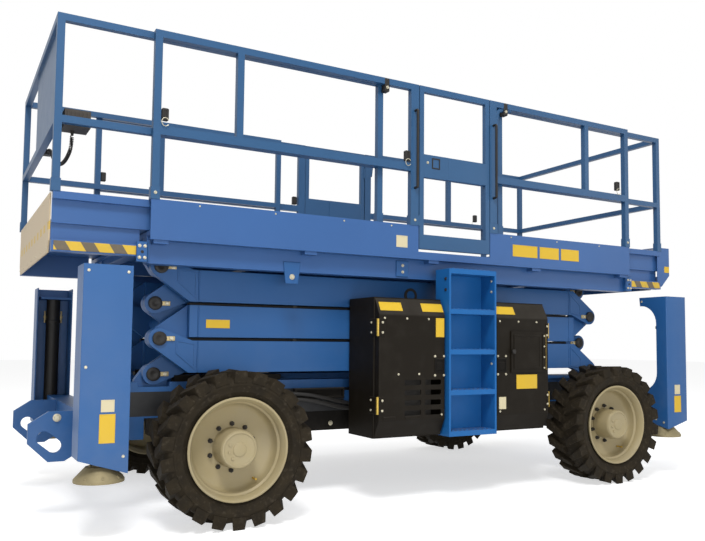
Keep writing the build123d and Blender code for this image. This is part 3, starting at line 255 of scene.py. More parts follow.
def sprayed(name, tone, gloss, grime=0.10, specular=0.35):
    """Sprayed enamel: broad tone drift, light dust low down, faint orange peel."""
    finish = Finish(name)
    drift = finish.blend(finish.noise(1.6, 3.0), shade(tone, 0.88), shade(tone, 1.12))
    low_down = (1.0 - finish.axis("Z") / DUST_LINE_Z).most(0.0)
    dusty = finish.patches(7.0, 0.42, 0.72) * low_down * grime
    scuffed = finish.patches(31.0, 0.70, 0.78, 6.0) * 0.16
    paint = finish.blend(dusty.most(scuffed * grime), drift, DUST)
    grain = finish.noise(420.0, 2.0)
    return finish.done(
        Base_Color=paint,
        Roughness=gloss + finish.noise(9.0) * 0.12 + dusty * 0.4,
        Normal=finish.bump(grain, 0.05, 0.0006),
        Specular_IOR_Level=specular,
    )


def powder(name, tone, roughness, specular):
    """Textured powder coat with a fine grain; its upward slopes turn paler with settled dust and with painted
    top light.
    """
    finish = Finish(name)
    drift = finish.blend(finish.noise(2.3, 3.0), shade(tone, 0.9), shade(tone, 1.12))
    facing = finish.node("ShaderNodeNewGeometry", out="Normal")
    # Upward faces are blended toward a paler tone: partly settled dust, partly a painted highlight of the
    # light from above. dusty carries both.
    upward = finish.node("ShaderNodeSeparateXYZ", {}, {0: facing}, out=2).most(0.0)
    settled_dust_and_top_light = upward * (0.10 + finish.noise(13.0) * 0.25)
    dusty = finish.patches(11.0, 0.48, 0.75) * 0.03 + settled_dust_and_top_light
    grain = finish.noise(520.0, 3.0, 0.7)
    return finish.done(
        Base_Color=finish.blend(dusty, drift, DUST_AND_TOP_LIGHT_TONE),
        Roughness=roughness + dusty,
        Normal=finish.bump(grain, 0.16, 0.0008),
        Specular_IOR_Level=specular,
    )


def rubber(name, tone):
    """Tyre rubber with pale dirt rubbed into it."""
    finish = Finish(name)
    worn = finish.patches(14.0, 0.38, 0.70)
    drift = finish.blend(worn, tone, shade(tone, 1.9))
    dirt = finish.patches(46.0, 0.55, 0.74, 6.0) * 0.3
    grain = finish.noise(240.0, 3.0, 0.65)
    return finish.done(
        Base_Color=finish.blend(dirt, drift, TYRE_DIRT),
        Roughness=0.72 + worn * 0.15,
        Normal=finish.bump(grain, 0.2, 0.0012),
        Specular_IOR_Level=0.12,
    )


def cast(name, tone):
    """Rough dark iron with oily patches."""
    finish = Finish(name)
    oily = finish.patches(9.0, 0.45, 0.68)
    grain = finish.noise(170.0, 4.0, 0.7)
    return finish.done(
        Base_Color=finish.blend(oily, tone, shade(tone, 0.5)),
        Roughness=0.68 - oily * 0.25,
        Metallic=0.25,
        Normal=finish.bump(grain, 0.3, 0.0015),
    )


def plated(name, tone, roughness):
    """Zinc plating with its cloudy colour."""
    finish = Finish(name)
    cloud = finish.noise(38.0, 3.0)
    return finish.done(
        Base_Color=finish.blend(cloud, shade(tone, 0.75), shade(tone, 1.2)),
        Roughness=roughness + cloud * 0.15,
        Metallic=0.55,
        Normal=finish.bump(finish.noise(260.0), 0.08, 0.0006),
    )


def chromed(name):
    """Hard chrome with a smear of oil."""
    finish = Finish(name)
    smear = finish.patches(25.0, 0.45, 0.75)
    return finish.done(
        Base_Color=finish.blend(smear, CHROME, OILY_CHROME),
        Roughness=0.12 + smear * 0.18,
        Metallic=1.0,
        Normal=finish.bump(finish.noise(90.0), 0.02, 0.0004),
    )


def moulded(name, tone, roughness=0.5):
    """Moulded plastic with a spark-eroded grain."""
    finish = Finish(name)
    grain = finish.noise(650.0, 2.0)
    rubbed = finish.patches(19.0, 0.5, 0.72)
    return finish.done(
        Base_Color=finish.blend(rubbed * 0.35, tone, shade(tone, 1.8)),
        Roughness=roughness + rubbed * 0.1,
        Normal=finish.bump(grain, 0.12, 0.0006),
        Specular_IOR_Level=0.3,
    )


def end_sheet(name):
    """Brushed end sheet with a row of yellow blocks across it."""
    finish = Finish(name)
    across = finish.axis("Y")
    height = finish.axis("Z")
    band = (height > BLOCK_ROW_Z[0]) * (height < BLOCK_ROW_Z[1])
    slanted = across / BLOCK_PITCH + height * BLOCK_LEAN
    blocks = band * (slanted.part() > BLOCK_SHARE)
    drawn_out = finish.node("ShaderNodeMapping", {}, {"Vector": finish.place, "Scale": BRUSH_SCALE})
    brushed = finish.node("ShaderNodeTexNoise", {}, {"Vector": drawn_out, "Scale": 3.0, "Detail": 3.0})
    sheet = finish.blend(brushed, shade(SHEET, 0.9), shade(SHEET, 1.08))
    return finish.done(
        Base_Color=finish.blend(blocks * 0.75, sheet, YELLOW),
        Roughness=0.42 + brushed * 0.2,
        Metallic=0.15,
        Normal=finish.bump(brushed, 0.06, 0.0006),
    )


def striped(name, pitch, lean):
    """Yellow and dark slanted stripes on a plate that faces sideways."""
    finish = Finish(name)
    slanted = (finish.axis("X") + finish.axis("Z") * lean) / pitch
    dark = slanted.part() > STRIPE_SHARE
    worn = finish.patches(40.0, 0.55, 0.8) * 0.25
    mark = finish.blend(dark, YELLOW, STRIPE_DARK)
    return finish.done(
        Base_Color=finish.blend(worn, mark, STRIPE_WORN),
        Roughness=0.45 + worn * 0.5,
        Normal=finish.bump(finish.noise(300.0), 0.05, 0.0005),
    )


def low_middle_darkened(name, upper, lower):
    """Blue enamel with its colour made dark along the middle of the frame's lower half."""
    finish = Finish(name)
    height = finish.axis("Z")
    low_down = height < TONE_SPLIT_Z
    mid_length = (finish.axis("X").size() < TONE_HALF_X).most(height > TONE_LOW_Z)
    drift = finish.blend(finish.noise(1.6, 3.0), shade(upper, 0.88), shade(upper, 1.12))
    dusty = finish.patches(7.0, 0.42, 0.72) * 0.05
    paint = finish.blend(low_down * mid_length, drift, lower)
    return finish.done(
        Base_Color=finish.blend(dusty, paint, DUST),
        Roughness=0.4 + finish.noise(9.0) * 0.12,
        Normal=finish.bump(finish.noise(420.0, 2.0), 0.05, 0.0006),
        Specular_IOR_Level=0.35,
    )


def tread_sheet(name, tone):
    """Painted tread plate: short bars that lean one way and the other, worn on their tops."""
    finish = Finish(name)
    along = finish.axis("X") / TREAD_PITCH
    across = finish.axis("Y") / TREAD_PITCH
    leaning = ((along + across) * pi).wave()
    crossing = ((along - across) * pi).wave()
    bars = (leaning * crossing * 2.2 - 0.9).most(0.0).least(1.0)
    worn = bars * finish.patches(5.0, 0.45, 0.7) * 0.5
    dirt = finish.patches(12.0, 0.4, 0.75) * 0.3
    drift = finish.blend(finish.noise(2.0), shade(tone, 0.8), shade(tone, 1.05))
    paint = finish.blend(dirt, drift, DECK_DIRT)
    return finish.done(
        Base_Color=finish.blend(worn, paint, BARE_STEEL),
        Roughness=0.5 + dirt * 0.5,
        Normal=finish.bump(bars, 0.5, 0.003),
        Specular_IOR_Level=0.35,
    )


FINISH = {
    "blue": sprayed("blue_enamel", BLUE, 0.36),
    "deck": sprayed("deck_blue_enamel", DECK_BLUE, 0.36),
    "ladder": sprayed("ladder_enamel", LADDER_BLUE, 0.40, 0.05, 0.2),
    "rail": sprayed("rail_enamel", RAIL_BLUE, 0.36),
    "cabinet": powder("cabinet_powder_coat", (0.0088, 0.0066, 0.0040), 0.5, 0.10),
    "rim": sprayed("rim_enamel", (0.335, 0.275, 0.150), 0.42, 0.2),
    "tyre": rubber("tyre_rubber", (0.0145, 0.0110, 0.0065)),
    "iron": cast("axle_iron", (0.022, 0.019, 0.016)),
    "zinc": plated("zinc_gold", (0.46, 0.37, 0.19), 0.38),
    "gold": plated("hinge_gold", (0.50, 0.34, 0.06), 0.36),
    "foot": plated("foot_casting", (0.27, 0.225, 0.125), 0.55),
    "bolt": plated("bolt_zinc", (0.52, 0.48, 0.36), 0.32),
    "chrome": chromed("rod_chrome"),
    "sheet": end_sheet("end_sheet_metal"),
    "plastic": moulded("black_plastic", (0.014, 0.0125, 0.011)),
    "box": moulded("control_box_plastic", (0.045, 0.038, 0.032), 0.6),
    "jacket": moulded("cord_jacket", (0.012, 0.011, 0.01), 0.55),
    "stripe": striped("warning_stripes", 0.142, -0.62),
    "yellow": sprayed("yellow_enamel", YELLOW, 0.4),
    "cream": sprayed("cream_enamel", (0.60, 0.53, 0.34), 0.42),
    "belly": powder("belly_paint", (0.0075, 0.0065, 0.0055), 0.6, 0.08),
    # The frame finish makes the colour dark low down along the frame's middle.
    "frame": low_middle_darkened("frame_enamel", BLUE, (0.012, 0.0125, 0.014)),
    "tread": tread_sheet("tread_sheet", DECK_BLUE),
    "brass": plated("valve_brass", (0.55, 0.36, 0.06), 0.3),
}

NODE_FINISH = {
    "tyre_": "tyre",
    "rim_": "rim",
    "front_axle": "iron",
    "rear_axle": "iron",
    "knuckle_": "iron",
    "tie_rod": "iron",
    "engine_block": "iron",
    "lift_barrel": "plastic",
    "belly_plates": "belly",
    "chassis_frame": "frame",
    "lift_rod": "chrome",
    "outrigger_jacks": "plastic",
    "outrigger_leg_": "foot",
    "ladders": "ladder",
    "rail_": "rail",
    "gate_": "rail",
    "front_extension_rails": "rail",
    "rear_extension_rails": "rail",
    "cabinet_": "cabinet",
    "door_": "cabinet",
    "control_hatch": "cabinet",
    "front_end_plate": "sheet",
    "control_box": "box",
    "cord_socket": "plastic",
    "control_cord": "jacket",
    "platform_deck": "deck",
    "front_extension_deck": "deck",
    "rear_extension_deck": "deck",
}


def dress(node, finish):
    """Give a CAD node its finish."""
    node.data.materials.clear()
    node.data.materials.append(FINISH[finish])


for node_name, node in NODES.items():
    chosen = [use for start, use in NODE_FINISH.items() if node_name.startswith(start)]
    dress(node, chosen[0] if chosen else "blue")


# Floor, backdrop and soft studio light
FLOOR_SPAN = 80.0
FLOOR_TONE = 0.86
FLOOR_LIFT = 0.60
WORLD_LEVEL = 0.39
LAMPS = [
    ("key_lamp", (3.4, 5.6, 7.9), (0.0, 0.4, 1.2), (2.4, 2.4), 490),
    ("fill_lamp", (-6.5, 6.5, 3.2), (-0.5, 0.3, 1.2), (4.0, 3.0), 70),
    ("low_lamp", (2.6, 8.5, 1.0), (0.6, 0.5, 1.0), (4.0, 1.4), 170),
    ("top_lamp", (0.0, 0.5, 8.0), (0.0, 0.0, 1.0), (6.0, 4.0), 190),
]


def pale_floor():
    """A pale floor that shows near white and keeps the shadow."""
    bpy.ops.mesh.primitive_plane_add(size=FLOOR_SPAN, location=(0, 0, 0))
    floor = bpy.context.object
    floor.name = "studio_floor"
    finish = Finish("pale_floor")
    matt = finish.node("ShaderNodeBsdfDiffuse", {}, {"Color": colour((FLOOR_TONE, FLOOR_TONE, FLOOR_TONE))})
    lift = finish.seen_plainly() * FLOOR_LIFT
    glow = finish.node("ShaderNodeEmission", {}, {"Color": colour((1, 1, 1)), "Strength": lift})
    both = finish.node("ShaderNodeAddShader", {}, {0: matt, 1: glow})
    finish.node("ShaderNodeOutputMaterial", {}, {"Surface": both})
    floor.data.materials.append(finish.material)


def white_world():
    """White to the camera and to reflections, a plain soft level to the surfaces."""
    finish = Finish("studio_world", bpy.data.worlds)
    level = WORLD_LEVEL + finish.seen_plainly() * (1.0 - WORLD_LEVEL)
    glow = finish.node("ShaderNodeBackground", {}, {"Color": colour((1, 1, 1)), "Strength": level})
    finish.node("ShaderNodeOutputWorld", {}, {"Surface": glow})
    bpy.context.scene.world = finish.material


def soft_lamp(name, place, target, size, watts):
    """A wide rectangular lamp at a place, turned to a target."""
    lamp = bpy.data.lights.new(name, "AREA")
    lamp.shape = "RECTANGLE"
    lamp.size = size[0]
    lamp.size_y = size[1]
    lamp.energy = watts
    holder = bpy.data.objects.new(name, lamp)
    bpy.context.scene.collection.objects.link(holder)
    holder.location = place
    aim = Vector(target) - Vector(place)
    holder.rotation_mode = "QUATERNION"
    holder.rotation_quaternion = aim.to_track_quat("-Z", "Y")


bpy.ops.object.select_all(action="DESELECT")
pale_floor()
white_world()
for lamp_settings in LAMPS:
    soft_lamp(*lamp_settings)
bpy.context.scene.view_settings.view_transform = "Standard"


# Modelling by hand: small tools that act on one piece
def only(piece):
    """Select one piece and nothing else."""
    bpy.ops.object.select_all(action="DESELECT")
    piece.select_set(True)
    bpy.context.view_layer.objects.active = piece


def open_edit(piece):
    """Open a piece in edit mode with nothing selected."""
    only(piece)
    bpy.ops.object.mode_set(mode="EDIT")
    bpy.ops.mesh.select_mode(type="FACE")
    bpy.ops.mesh.select_all(action="DESELECT")


def close_edit():
    """Leave edit mode."""
    bpy.ops.object.mode_set(mode="OBJECT")


def choose(piece, test, kind="FACE"):
    """In edit mode, select the faces, edges or points that pass a test."""
    bpy.ops.mesh.select_mode(type=kind)
    bpy.ops.mesh.select_all(action="DESELECT")
    shape = bmesh.from_edit_mesh(piece.data)
    parts = {"FACE": shape.faces, "EDGE": shape.edges, "VERT": shape.verts}[kind]
    for part in parts:
        part.select_set(bool(test(part)))
    shape.select_flush_mode()
    bmesh.update_edit_mesh(piece.data)


def middle(part):
    """The middle of a face or an edge."""
    points = [point.co for point in part.verts]
    return sum(points, Vector()) / len(points)


def sharp(edge):
    """Whether two faces meet at an edge with a clear turn."""
    return edge.is_manifold and edge.calc_face_angle() > radians(25)


def tidy(piece, smooth=None):
    """Close the piece's seams, turn its faces outwards and put its place in its mesh."""
    only(piece)
    bpy.ops.object.transform_apply(location=True, rotation=True, scale=True)
    bpy.ops.object.mode_set(mode="EDIT")
    bpy.ops.mesh.select_all(action="SELECT")
    bpy.ops.mesh.remove_doubles(threshold=0.00005)
    bpy.ops.mesh.normals_make_consistent(inside=False)
    bpy.ops.object.mode_set(mode="OBJECT")
    if smooth is not None:
        bpy.ops.object.shade_smooth_by_angle(angle=radians(smooth))
    return piece


def fasten(piece, name, finish, body):
    """Name a finished piece, paint it and let it ride on its body."""
    piece.name = name
    piece.data.name = name
    piece.data.materials.clear()
    piece.data.materials.append(FINISH[finish])
    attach(piece, body)
    return piece


def copied(piece):
    """A copy with its own mesh, left selected."""
    only(piece)
    bpy.ops.object.duplicate(linked=False)
    return bpy.context.object


def joined(pieces):
    """Join pieces into the first one."""
    only(pieces[0])
    for piece in pieces[1:]:
        piece.select_set(True)
    bpy.ops.object.join()
    return pieces[0]


def round_copies(piece, count, axis, centre=(0, 0, 0)):
    """Copy a piece round an axis through a centre and join the ring."""
    ring = [piece]
    for number in range(1, count):
        turned_copy = copied(piece)
        turn = Matrix.Rotation(tau * number / count, 4, axis)
        there = Matrix.Translation(centre)
        turned_copy.matrix_world = there @ turn @ there.inverted() @ piece.matrix_world
        ring.append(turned_copy)
    return joined(ring)


LATHE_TURN = {"X": (0, pi / 2, 0), "Y": (pi / 2, 0, 0), "Z": (0, 0, 0)}
LATHE_LINE = {"X": Vector((1, 0, 0)), "Y": Vector((0, 1, 0)), "Z": Vector((0, 0, 1))}


def turned(rings, sides, axis="Y", centre=(0, 0, 0), loop=False):
    """Turn a piece as on a lathe: a circle extruded through rings of (radius, place on the axis)."""
    line = LATHE_LINE[axis]
    start = Vector(centre) + line * rings[0][1]
    bpy.ops.object.select_all(action="DESELECT")
    bpy.ops.mesh.primitive_circle_add(
        vertices=sides, radius=rings[0][0], location=start, rotation=LATHE_TURN[axis],
    )
    piece = bpy.context.object
    bpy.ops.object.mode_set(mode="EDIT")
    bpy.ops.mesh.select_mode(type="EDGE")
    bpy.ops.mesh.select_all(action="SELECT")
    if not loop:
        bpy.ops.mesh.edge_face_add()
        bpy.ops.mesh.select_mode(type="EDGE")
        bpy.ops.mesh.select_all(action="SELECT")
    steps = rings + rings[:1] if loop else rings
    for (radius, place), (next_radius, next_place) in zip(steps, steps[1:]):
        bpy.ops.mesh.extrude_edges_move(
            TRANSFORM_OT_translate={"value": line * (next_place - place)}
        )
        scale = next_radius / radius
        hub = Vector(centre) + line * next_place
        bpy.ops.transform.resize(value=(scale, scale, scale), center_override=hub)
    if not loop:
        bpy.ops.mesh.edge_face_add()
    bpy.ops.object.mode_set(mode="OBJECT")
    return piece


def block(low, high, bevel=0.0, segments=1):
    """A bevelled block between two corners."""
    bpy.ops.object.select_all(action="DESELECT")
    low, high = Vector(low), Vector(high)
    bpy.ops.mesh.primitive_cube_add(size=1.0, location=(low + high) / 2, scale=high - low)
    piece = bpy.context.object
    bpy.ops.object.transform_apply(location=True, rotation=True, scale=True)
    if bevel:
        bpy.ops.object.mode_set(mode="EDIT")
        bpy.ops.mesh.select_mode(type="EDGE")
        bpy.ops.mesh.select_all(action="SELECT")
        bpy.ops.mesh.bevel(offset=bevel, segments=segments, affect="EDGES")
        bpy.ops.object.mode_set(mode="OBJECT")
    return piece


# Curly control cord between the control box and its socket
CORD_ROUTE = [
    (2.296, 0.100, 2.128),
    (2.296, 0.165, 2.128),
    (2.295, 0.260, 2.085),
    (2.291, 0.360, 2.025),
    (2.284, 0.460, 1.980),
    (2.272, 0.560, 1.960),
    (2.258, 0.650, 1.978),
    (2.246, 0.720, 2.030),
    (2.246, 0.720, 2.110),
]
CORD_WIRE = 0.006
CURL_RADIUS = 0.008
CURL_PITCH = 0.0088
CURL_POINTS = 12
STRAIGHT_END = 0.03


def nurbs_line(name, points):
    """An open smooth spline through a route's control points."""
    data = bpy.data.curves.new(name, "CURVE")
    data.dimensions = "3D"
    spline = data.splines.new("NURBS")
    spline.points.add(len(points) - 1)
    for point, place in zip(spline.points, points):
        point.co = (*place, 1.0)
    spline.order_u = 3
    spline.use_endpoint_u = True
    line = bpy.data.objects.new(name, data)
    bpy.context.scene.collection.objects.link(line)
    return line


def points_along(line):
    """The points of a spline with no bevel, in order, and the length up to each."""
    line.data.resolution_u = 24
    bpy.context.view_layer.update()
    graph = bpy.context.evaluated_depsgraph_get()
    mesh = bpy.data.meshes.new_from_object(line.evaluated_get(graph))
    points = [vertex.co.copy() for vertex in mesh.vertices]
    lengths = [0.0]
    for before, after in zip(points, points[1:]):
        lengths.append(lengths[-1] + (after - before).length)
    return points, lengths


def place_at(points, lengths, along):
    """The place and the direction at a length along a polyline."""
    number = 1
    while number < len(lengths) - 1 and lengths[number] < along:
        number += 1
    before, after = points[number - 1], points[number]
    share = (along - lengths[number - 1]) / (lengths[number] - lengths[number - 1])
    return before.lerp(after, share), (after - before).normalized()


def curly_cord():
    """A wire wound in even curls round a hanging route, straight at both ends."""
    route = nurbs_line("cord_route", CORD_ROUTE)
    points, lengths = points_along(route)
    bpy.data.objects.remove(route)
    total = lengths[-1]
    side = Vector((1, 0, 0))
    curled = total - 2 * STRAIGHT_END
    count = round(curled / CURL_PITCH) * CURL_POINTS
    helix = [points[0], place_at(points, lengths, STRAIGHT_END / 2)[0]]
    for number in range(count + 1):
        share = number / count
        place, along = place_at(points, lengths, STRAIGHT_END + curled * share)
        up = along.cross(side).normalized()
        out = up.cross(along).normalized()
        angle = tau * number / CURL_POINTS
        helix.append(place + (out * cos(angle) + up * sin(angle)) * CURL_RADIUS)
    helix.append(place_at(points, lengths, total - STRAIGHT_END / 2)[0])
    helix.append(points[-1])
    cord = nurbs_line("curly_cord", helix)
    cord.data.resolution_u = 2
    cord.data.bevel_depth = CORD_WIRE / 2
    cord.data.bevel_resolution = 2
    cord.data.use_fill_caps = True
    cord.data.materials.append(FINISH["jacket"])
    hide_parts("control_cord")
    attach(cord, "front_extension")
    return cord


def strain_relief(name, rings, axis, centre):
    """A ribbed, tapered sleeve where the cord meets its housing."""
    sleeve = tidy(turned(rings, 20, axis, centre), 40)
    return fasten(sleeve, name, "plastic", "front_extension")


SLEEVE_RINGS = [
    (0.0105, -0.004),
    (0.0105, 0.006),
    (0.0088, 0.007),
    (0.0095, 0.011),
    (0.0078, 0.012),
    (0.0085, 0.016),
    (0.0068, 0.017),
    (0.0075, 0.021),
    (0.0055, 0.024),
]
cord = curly_cord()
strain_relief("socket_sleeve", SLEEVE_RINGS, "Y", CORD_ROUTE[0])
hanging = [(radius, -place) for radius, place in SLEEVE_RINGS]
strain_relief("box_sleeve", hanging, "Z", CORD_ROUTE[-1])


# Wheels: tyre, rim, nuts and valve modelled round the origin, then copied to each corner
WHEEL_X = 1.42
WHEEL_Y = 0.9925
WHEEL_Z = 0.419
CORNERS = {
    "front_left": (WHEEL_X, WHEEL_Y),
    "front_right": (WHEEL_X, -WHEEL_Y),
    "rear_left": (-WHEEL_X, WHEEL_Y),
    "rear_right": (-WHEEL_X, -WHEEL_Y),
}
CARCASS_HALF = [
    (0.262, 0.104),
    (0.288, 0.1245),
    (0.301, 0.1325),
    (0.305, 0.1380),
    (0.336, 0.1440),
    (0.340, 0.1475),
    (0.349, 0.1475),
    (0.353, 0.1430),
    (0.370, 0.1385),
    (0.383, 0.1220),
    (0.388, 0.0600),
]
LUG_COUNT = 22
LUG_HALF = 0.038
LUG_TOP = 0.4178
LUG_FOOT = 0.352
LUG_INNER_Y = 0.016
LUG_OUTER_Y = 0.1525
LUG_TURN = radians(-11.5)
LUG_NARROW = 0.66
LUG_TOP_TAPER = (0.86, 0.975, 1)
LUG_MID_Y = 0.08
LUG_UNDERCUT = 0.006
LUG_EDGE = 0.0022
CROWN = (0.389, 0.0)
RIM_RINGS = [
    (0.2780, 0.1285),
    (0.2785, 0.1355),
    (0.2755, 0.1385),
    (0.2680, 0.1385),
    (0.2640, 0.1350),
    (0.2600, 0.1200),
    (0.2535, 0.1120),
    (0.2515, 0.0840),
    (0.2400, 0.0740),
    (0.2380, 0.0400),
    (0.2290, 0.0220),
    (0.2140, 0.0120),
    (0.1500, 0.0045),
    (0.1280, 0.0030),
    (0.1040, 0.0030),
    (0.1040, -0.0090),
    (0.1500, -0.0085),
    (0.2100, -0.0020),
    (0.2335, 0.0060),
    (0.2380, -0.0200),
    (0.2410, -0.0900),
    (0.2470, -0.1150),
    (0.2620, -0.1280),
    (0.2680, -0.1365),
    (0.2780, -0.1365),
    (0.2780, -0.1285),
    (0.2620, -0.1220),
    (0.2525, -0.1000),
    (0.2525, 0.0900),
    (0.2620, 0.1180),
]
HUB_RINGS = [
    (0.0465, 0.0780),
    (0.0465, -0.0600),
    (0.1000, -0.0600),
    (0.1040, -0.0500),
    (0.1040, 0.0040),
    (0.1070, 0.0100),
    (0.1040, 0.0190),
    (0.1030, 0.0240),
    (0.1030, 0.1240),
    (0.1010, 0.1350),
    (0.0950, 0.1420),
    (0.0870, 0.1435),
    (0.0840, 0.1395),
    (0.0800, 0.1385),
    (0.0370, 0.1385),
    (0.0350, 0.1425),
    (0.0300, 0.1440),
    (0.0060, 0.1440),
]
NUT_RINGS = [
    (0.0135, 0.0),
    (0.0135, 0.0130),
    (0.0115, 0.0160),
    (0.0075, 0.0160),
    (0.0070, 0.0260),
    (0.0050, 0.0275),
]
NUT_COUNT = 10
NUT_CIRCLE = 0.126
NUT_SEAT_Y = 0.003
HUB_PLUG_RINGS = [(0.009, 0.137), (0.009, 0.1425), (0.007, 0.144)]
PLUG_PLACES = [(0.052, 0.026), (0.055, -0.012), (0.038, -0.046)]
VALVE_RINGS = [
    (0.0065, 0.0000),
    (0.0065, 0.0120),
    (0.0045, 0.0140),
    (0.0045, 0.0360),
    (0.0060, 0.0370),
    (0.0060, 0.0480),
    (0.0040, 0.0500),
]
VALVE_PLACE = (-0.124, 0.014, -0.176)


def shoulder_lug():
    """One tread bar: wide at the shoulder, narrower and turned ahead at the middle of the tread."""
    lug = block((-LUG_HALF, LUG_INNER_Y, LUG_FOOT), (LUG_HALF, LUG_OUTER_Y, LUG_TOP))
    open_edit(lug)
    choose(lug, lambda face: face.normal.y < -0.9)
    bpy.ops.transform.resize(value=(LUG_NARROW, 1, 1), center_override=(0, LUG_INNER_Y, LUG_TOP))
    bpy.ops.transform.rotate(value=LUG_TURN, orient_axis="Y", center_override=(0, 0, 0))
    choose(lug, lambda face: face.normal.z > 0.9)
    bpy.ops.mesh.subdivide(number_cuts=1)
    choose(lug, lambda face: face.normal.z > 0.9)
    bpy.ops.transform.resize(value=LUG_TOP_TAPER, center_override=(0, LUG_MID_Y, LUG_TOP))
    choose(lug, lambda edge: middle(edge).y > 0.15 and middle(edge).z < LUG_FOOT + 0.002, "EDGE")
    bpy.ops.transform.translate(value=(0, -LUG_UNDERCUT, 0))
    choose(lug, sharp, "EDGE")
    bpy.ops.mesh.bevel(offset=LUG_EDGE, segments=1, affect="EDGES")
    close_edit()
    return lug


def lugged_tyre():
    """A carcass with two rows of tread bars, half a pitch apart."""
    rings = CARCASS_HALF + [CROWN] + [(radius, -place) for radius, place in CARCASS_HALF[::-1]]
    carcass = tidy(turned(rings, 3 * LUG_COUNT, "Y", loop=True), 40)
    near_row = round_copies(shoulder_lug(), LUG_COUNT, "Y")
    far_row = copied(near_row)
    far_row.matrix_world = Matrix.Rotation(pi / LUG_COUNT, 4, "Y") @ Matrix.Scale(-1, 4, (0, 1, 0))
    lugs = joined([tidy(near_row), tidy(far_row)])
    return joined([carcass, lugs])


def rim_with_hub():
    """A dished rim, its hub and the hub's plugs."""
    dish = tidy(turned(RIM_RINGS, 64, "Y", loop=True), 35)
    hub = tidy(turned(HUB_RINGS, 48, "Y"), 35)
    plugs = []
    for x, z in PLUG_PLACES:
        plugs.append(tidy(turned(HUB_PLUG_RINGS, 6, "Y", (x, 0, z))))
    return joined([dish, hub, *plugs])


def ring_of_nuts():
    """Wheel nuts round the hub."""
    nut = tidy(turned(NUT_RINGS, 6, "Y", (0, NUT_SEAT_Y, NUT_CIRCLE)))
    return round_copies(nut, NUT_COUNT, "Y")


def to_corner(piece, corner):
    """A copy of a wheel piece at one corner, mirrored on the right-hand side."""
    x, y = CORNERS[corner]
    there = copied(piece)
    there.matrix_world = Matrix.Translation((x, y, WHEEL_Z)) @ Matrix.Scale(1 if y > 0 else -1, 4, (0, 1, 0))
    only(there)
    bpy.ops.object.transform_apply(location=True, rotation=True, scale=True)
    if y < 0:
        bpy.ops.object.mode_set(mode="EDIT")
        bpy.ops.mesh.select_all(action="SELECT")
        bpy.ops.mesh.normals_make_consistent(inside=False)
        bpy.ops.object.mode_set(mode="OBJECT")
    return there


def wheels():
    """Fit each corner with a copy of the tyre, the rim, the nuts and the valve."""
    tyre = lugged_tyre()
    rim = rim_with_hub()
    nuts = ring_of_nuts()
    valve = tidy(turned(VALVE_RINGS, 10, "Y", VALVE_PLACE), 40)
    for corner in CORNERS:
        body = f"wheel_{corner}"
        fitted = fasten(to_corner(tyre, corner), f"lugged_tyre_{corner}", "tyre", body)
        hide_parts(f"tyre_{corner}")
        fitted = fasten(to_corner(rim, corner), f"dished_rim_{corner}", "rim", body)
        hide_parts(f"rim_{corner}")
        fasten(to_corner(nuts, corner), f"wheel_nuts_{corner}", "iron", body)
        fasten(to_corner(valve, corner), f"valve_{corner}", "brass", body)
    for pattern in (tyre, rim, nuts, valve):
        bpy.data.objects.remove(pattern)


wheels()


# Fasteners: one bolt, copied to each place that it holds
SIDES = {"left": 1, "right": -1}
FACING = {
    "left": Matrix.Identity(4),
    "right": Matrix.Rotation(pi, 4, "Z"),
    "front": Matrix.Rotation(-pi / 2, 4, "Z"),
    "rear": Matrix.Rotation(pi / 2, 4, "Z"),
}


WASHER_RINGS = [(0.0130, -0.0010), (0.0130, 0.0016), (0.0118, 0.0022)]
HEAD_RINGS = [(0.0096, 0.0020), (0.0096, 0.0080), (0.0080, 0.0092)]


def hex_bolt():
    """A bolt head on its washer, facing +Y from the origin."""
    washer = turned(WASHER_RINGS, 16, "Y")
    head = turned(HEAD_RINGS, 6, "Y")
    return joined([tidy(washer), tidy(head)])


BOLT = hex_bolt()


def bolts(name, facing, places, body, size=1.0, finish="bolt"):
    """Bolts at places on a face, as one piece."""
    heads = []
    for place in places:
        head = copied(BOLT)
        head.matrix_world = Matrix.Translation(place) @ FACING[facing] @ Matrix.Scale(size, 4)
        heads.append(head)
    return fasten(tidy(joined(heads)), name, finish, body)


def between(side, near, far):
    """Low and high Y of something on one side, from two distances off the middle."""
    return sorted((side * near, side * far))


def slab(x, y, z, bevel=0.0015):
    """A plate from its low and high ends along each axis, with its edges taken off."""
    return tidy(block((x[0], y[0], z[0]), (x[1], y[1], z[1]), bevel))


def dished(piece, facing, margin, depth):
    """Sink the face of a plate that faces one way, inside a margin."""
    normal = FACING[facing].to_3x3() @ Vector((0, 1, 0))
    open_edit(piece)
    choose(piece, lambda face: face.normal.dot(normal) > 0.99)
    bpy.ops.mesh.inset(thickness=margin)
    bpy.ops.mesh.extrude_region_move(TRANSFORM_OT_translate={"value": normal * -depth})
    close_edit()
    return tidy(piece)


def eased(corners, reach):
    """A route whose corners are cut back, so that a spline bends tightly there."""
    places = [Vector(corner) for corner in corners]
    route = [places[0]]
    for before, corner, after in zip(places, places[1:], places[2:]):
        route.append(corner + (before - corner).normalized() * reach)
        route.append(corner)
        route.append(corner + (after - corner).normalized() * reach)
    return route + [places[-1]]


def bent_bar(name, route, radius, finish, body):
    """A round bar bent along a route, made a mesh."""
    line = nurbs_line(name, route)
    line.data.bevel_depth = radius
    line.data.bevel_resolution = 2
    line.data.resolution_u = 4
    line.data.use_fill_caps = True
    only(line)
    bpy.ops.object.convert(target="MESH")
    return fasten(tidy(bpy.context.object, 40), name, finish, body)


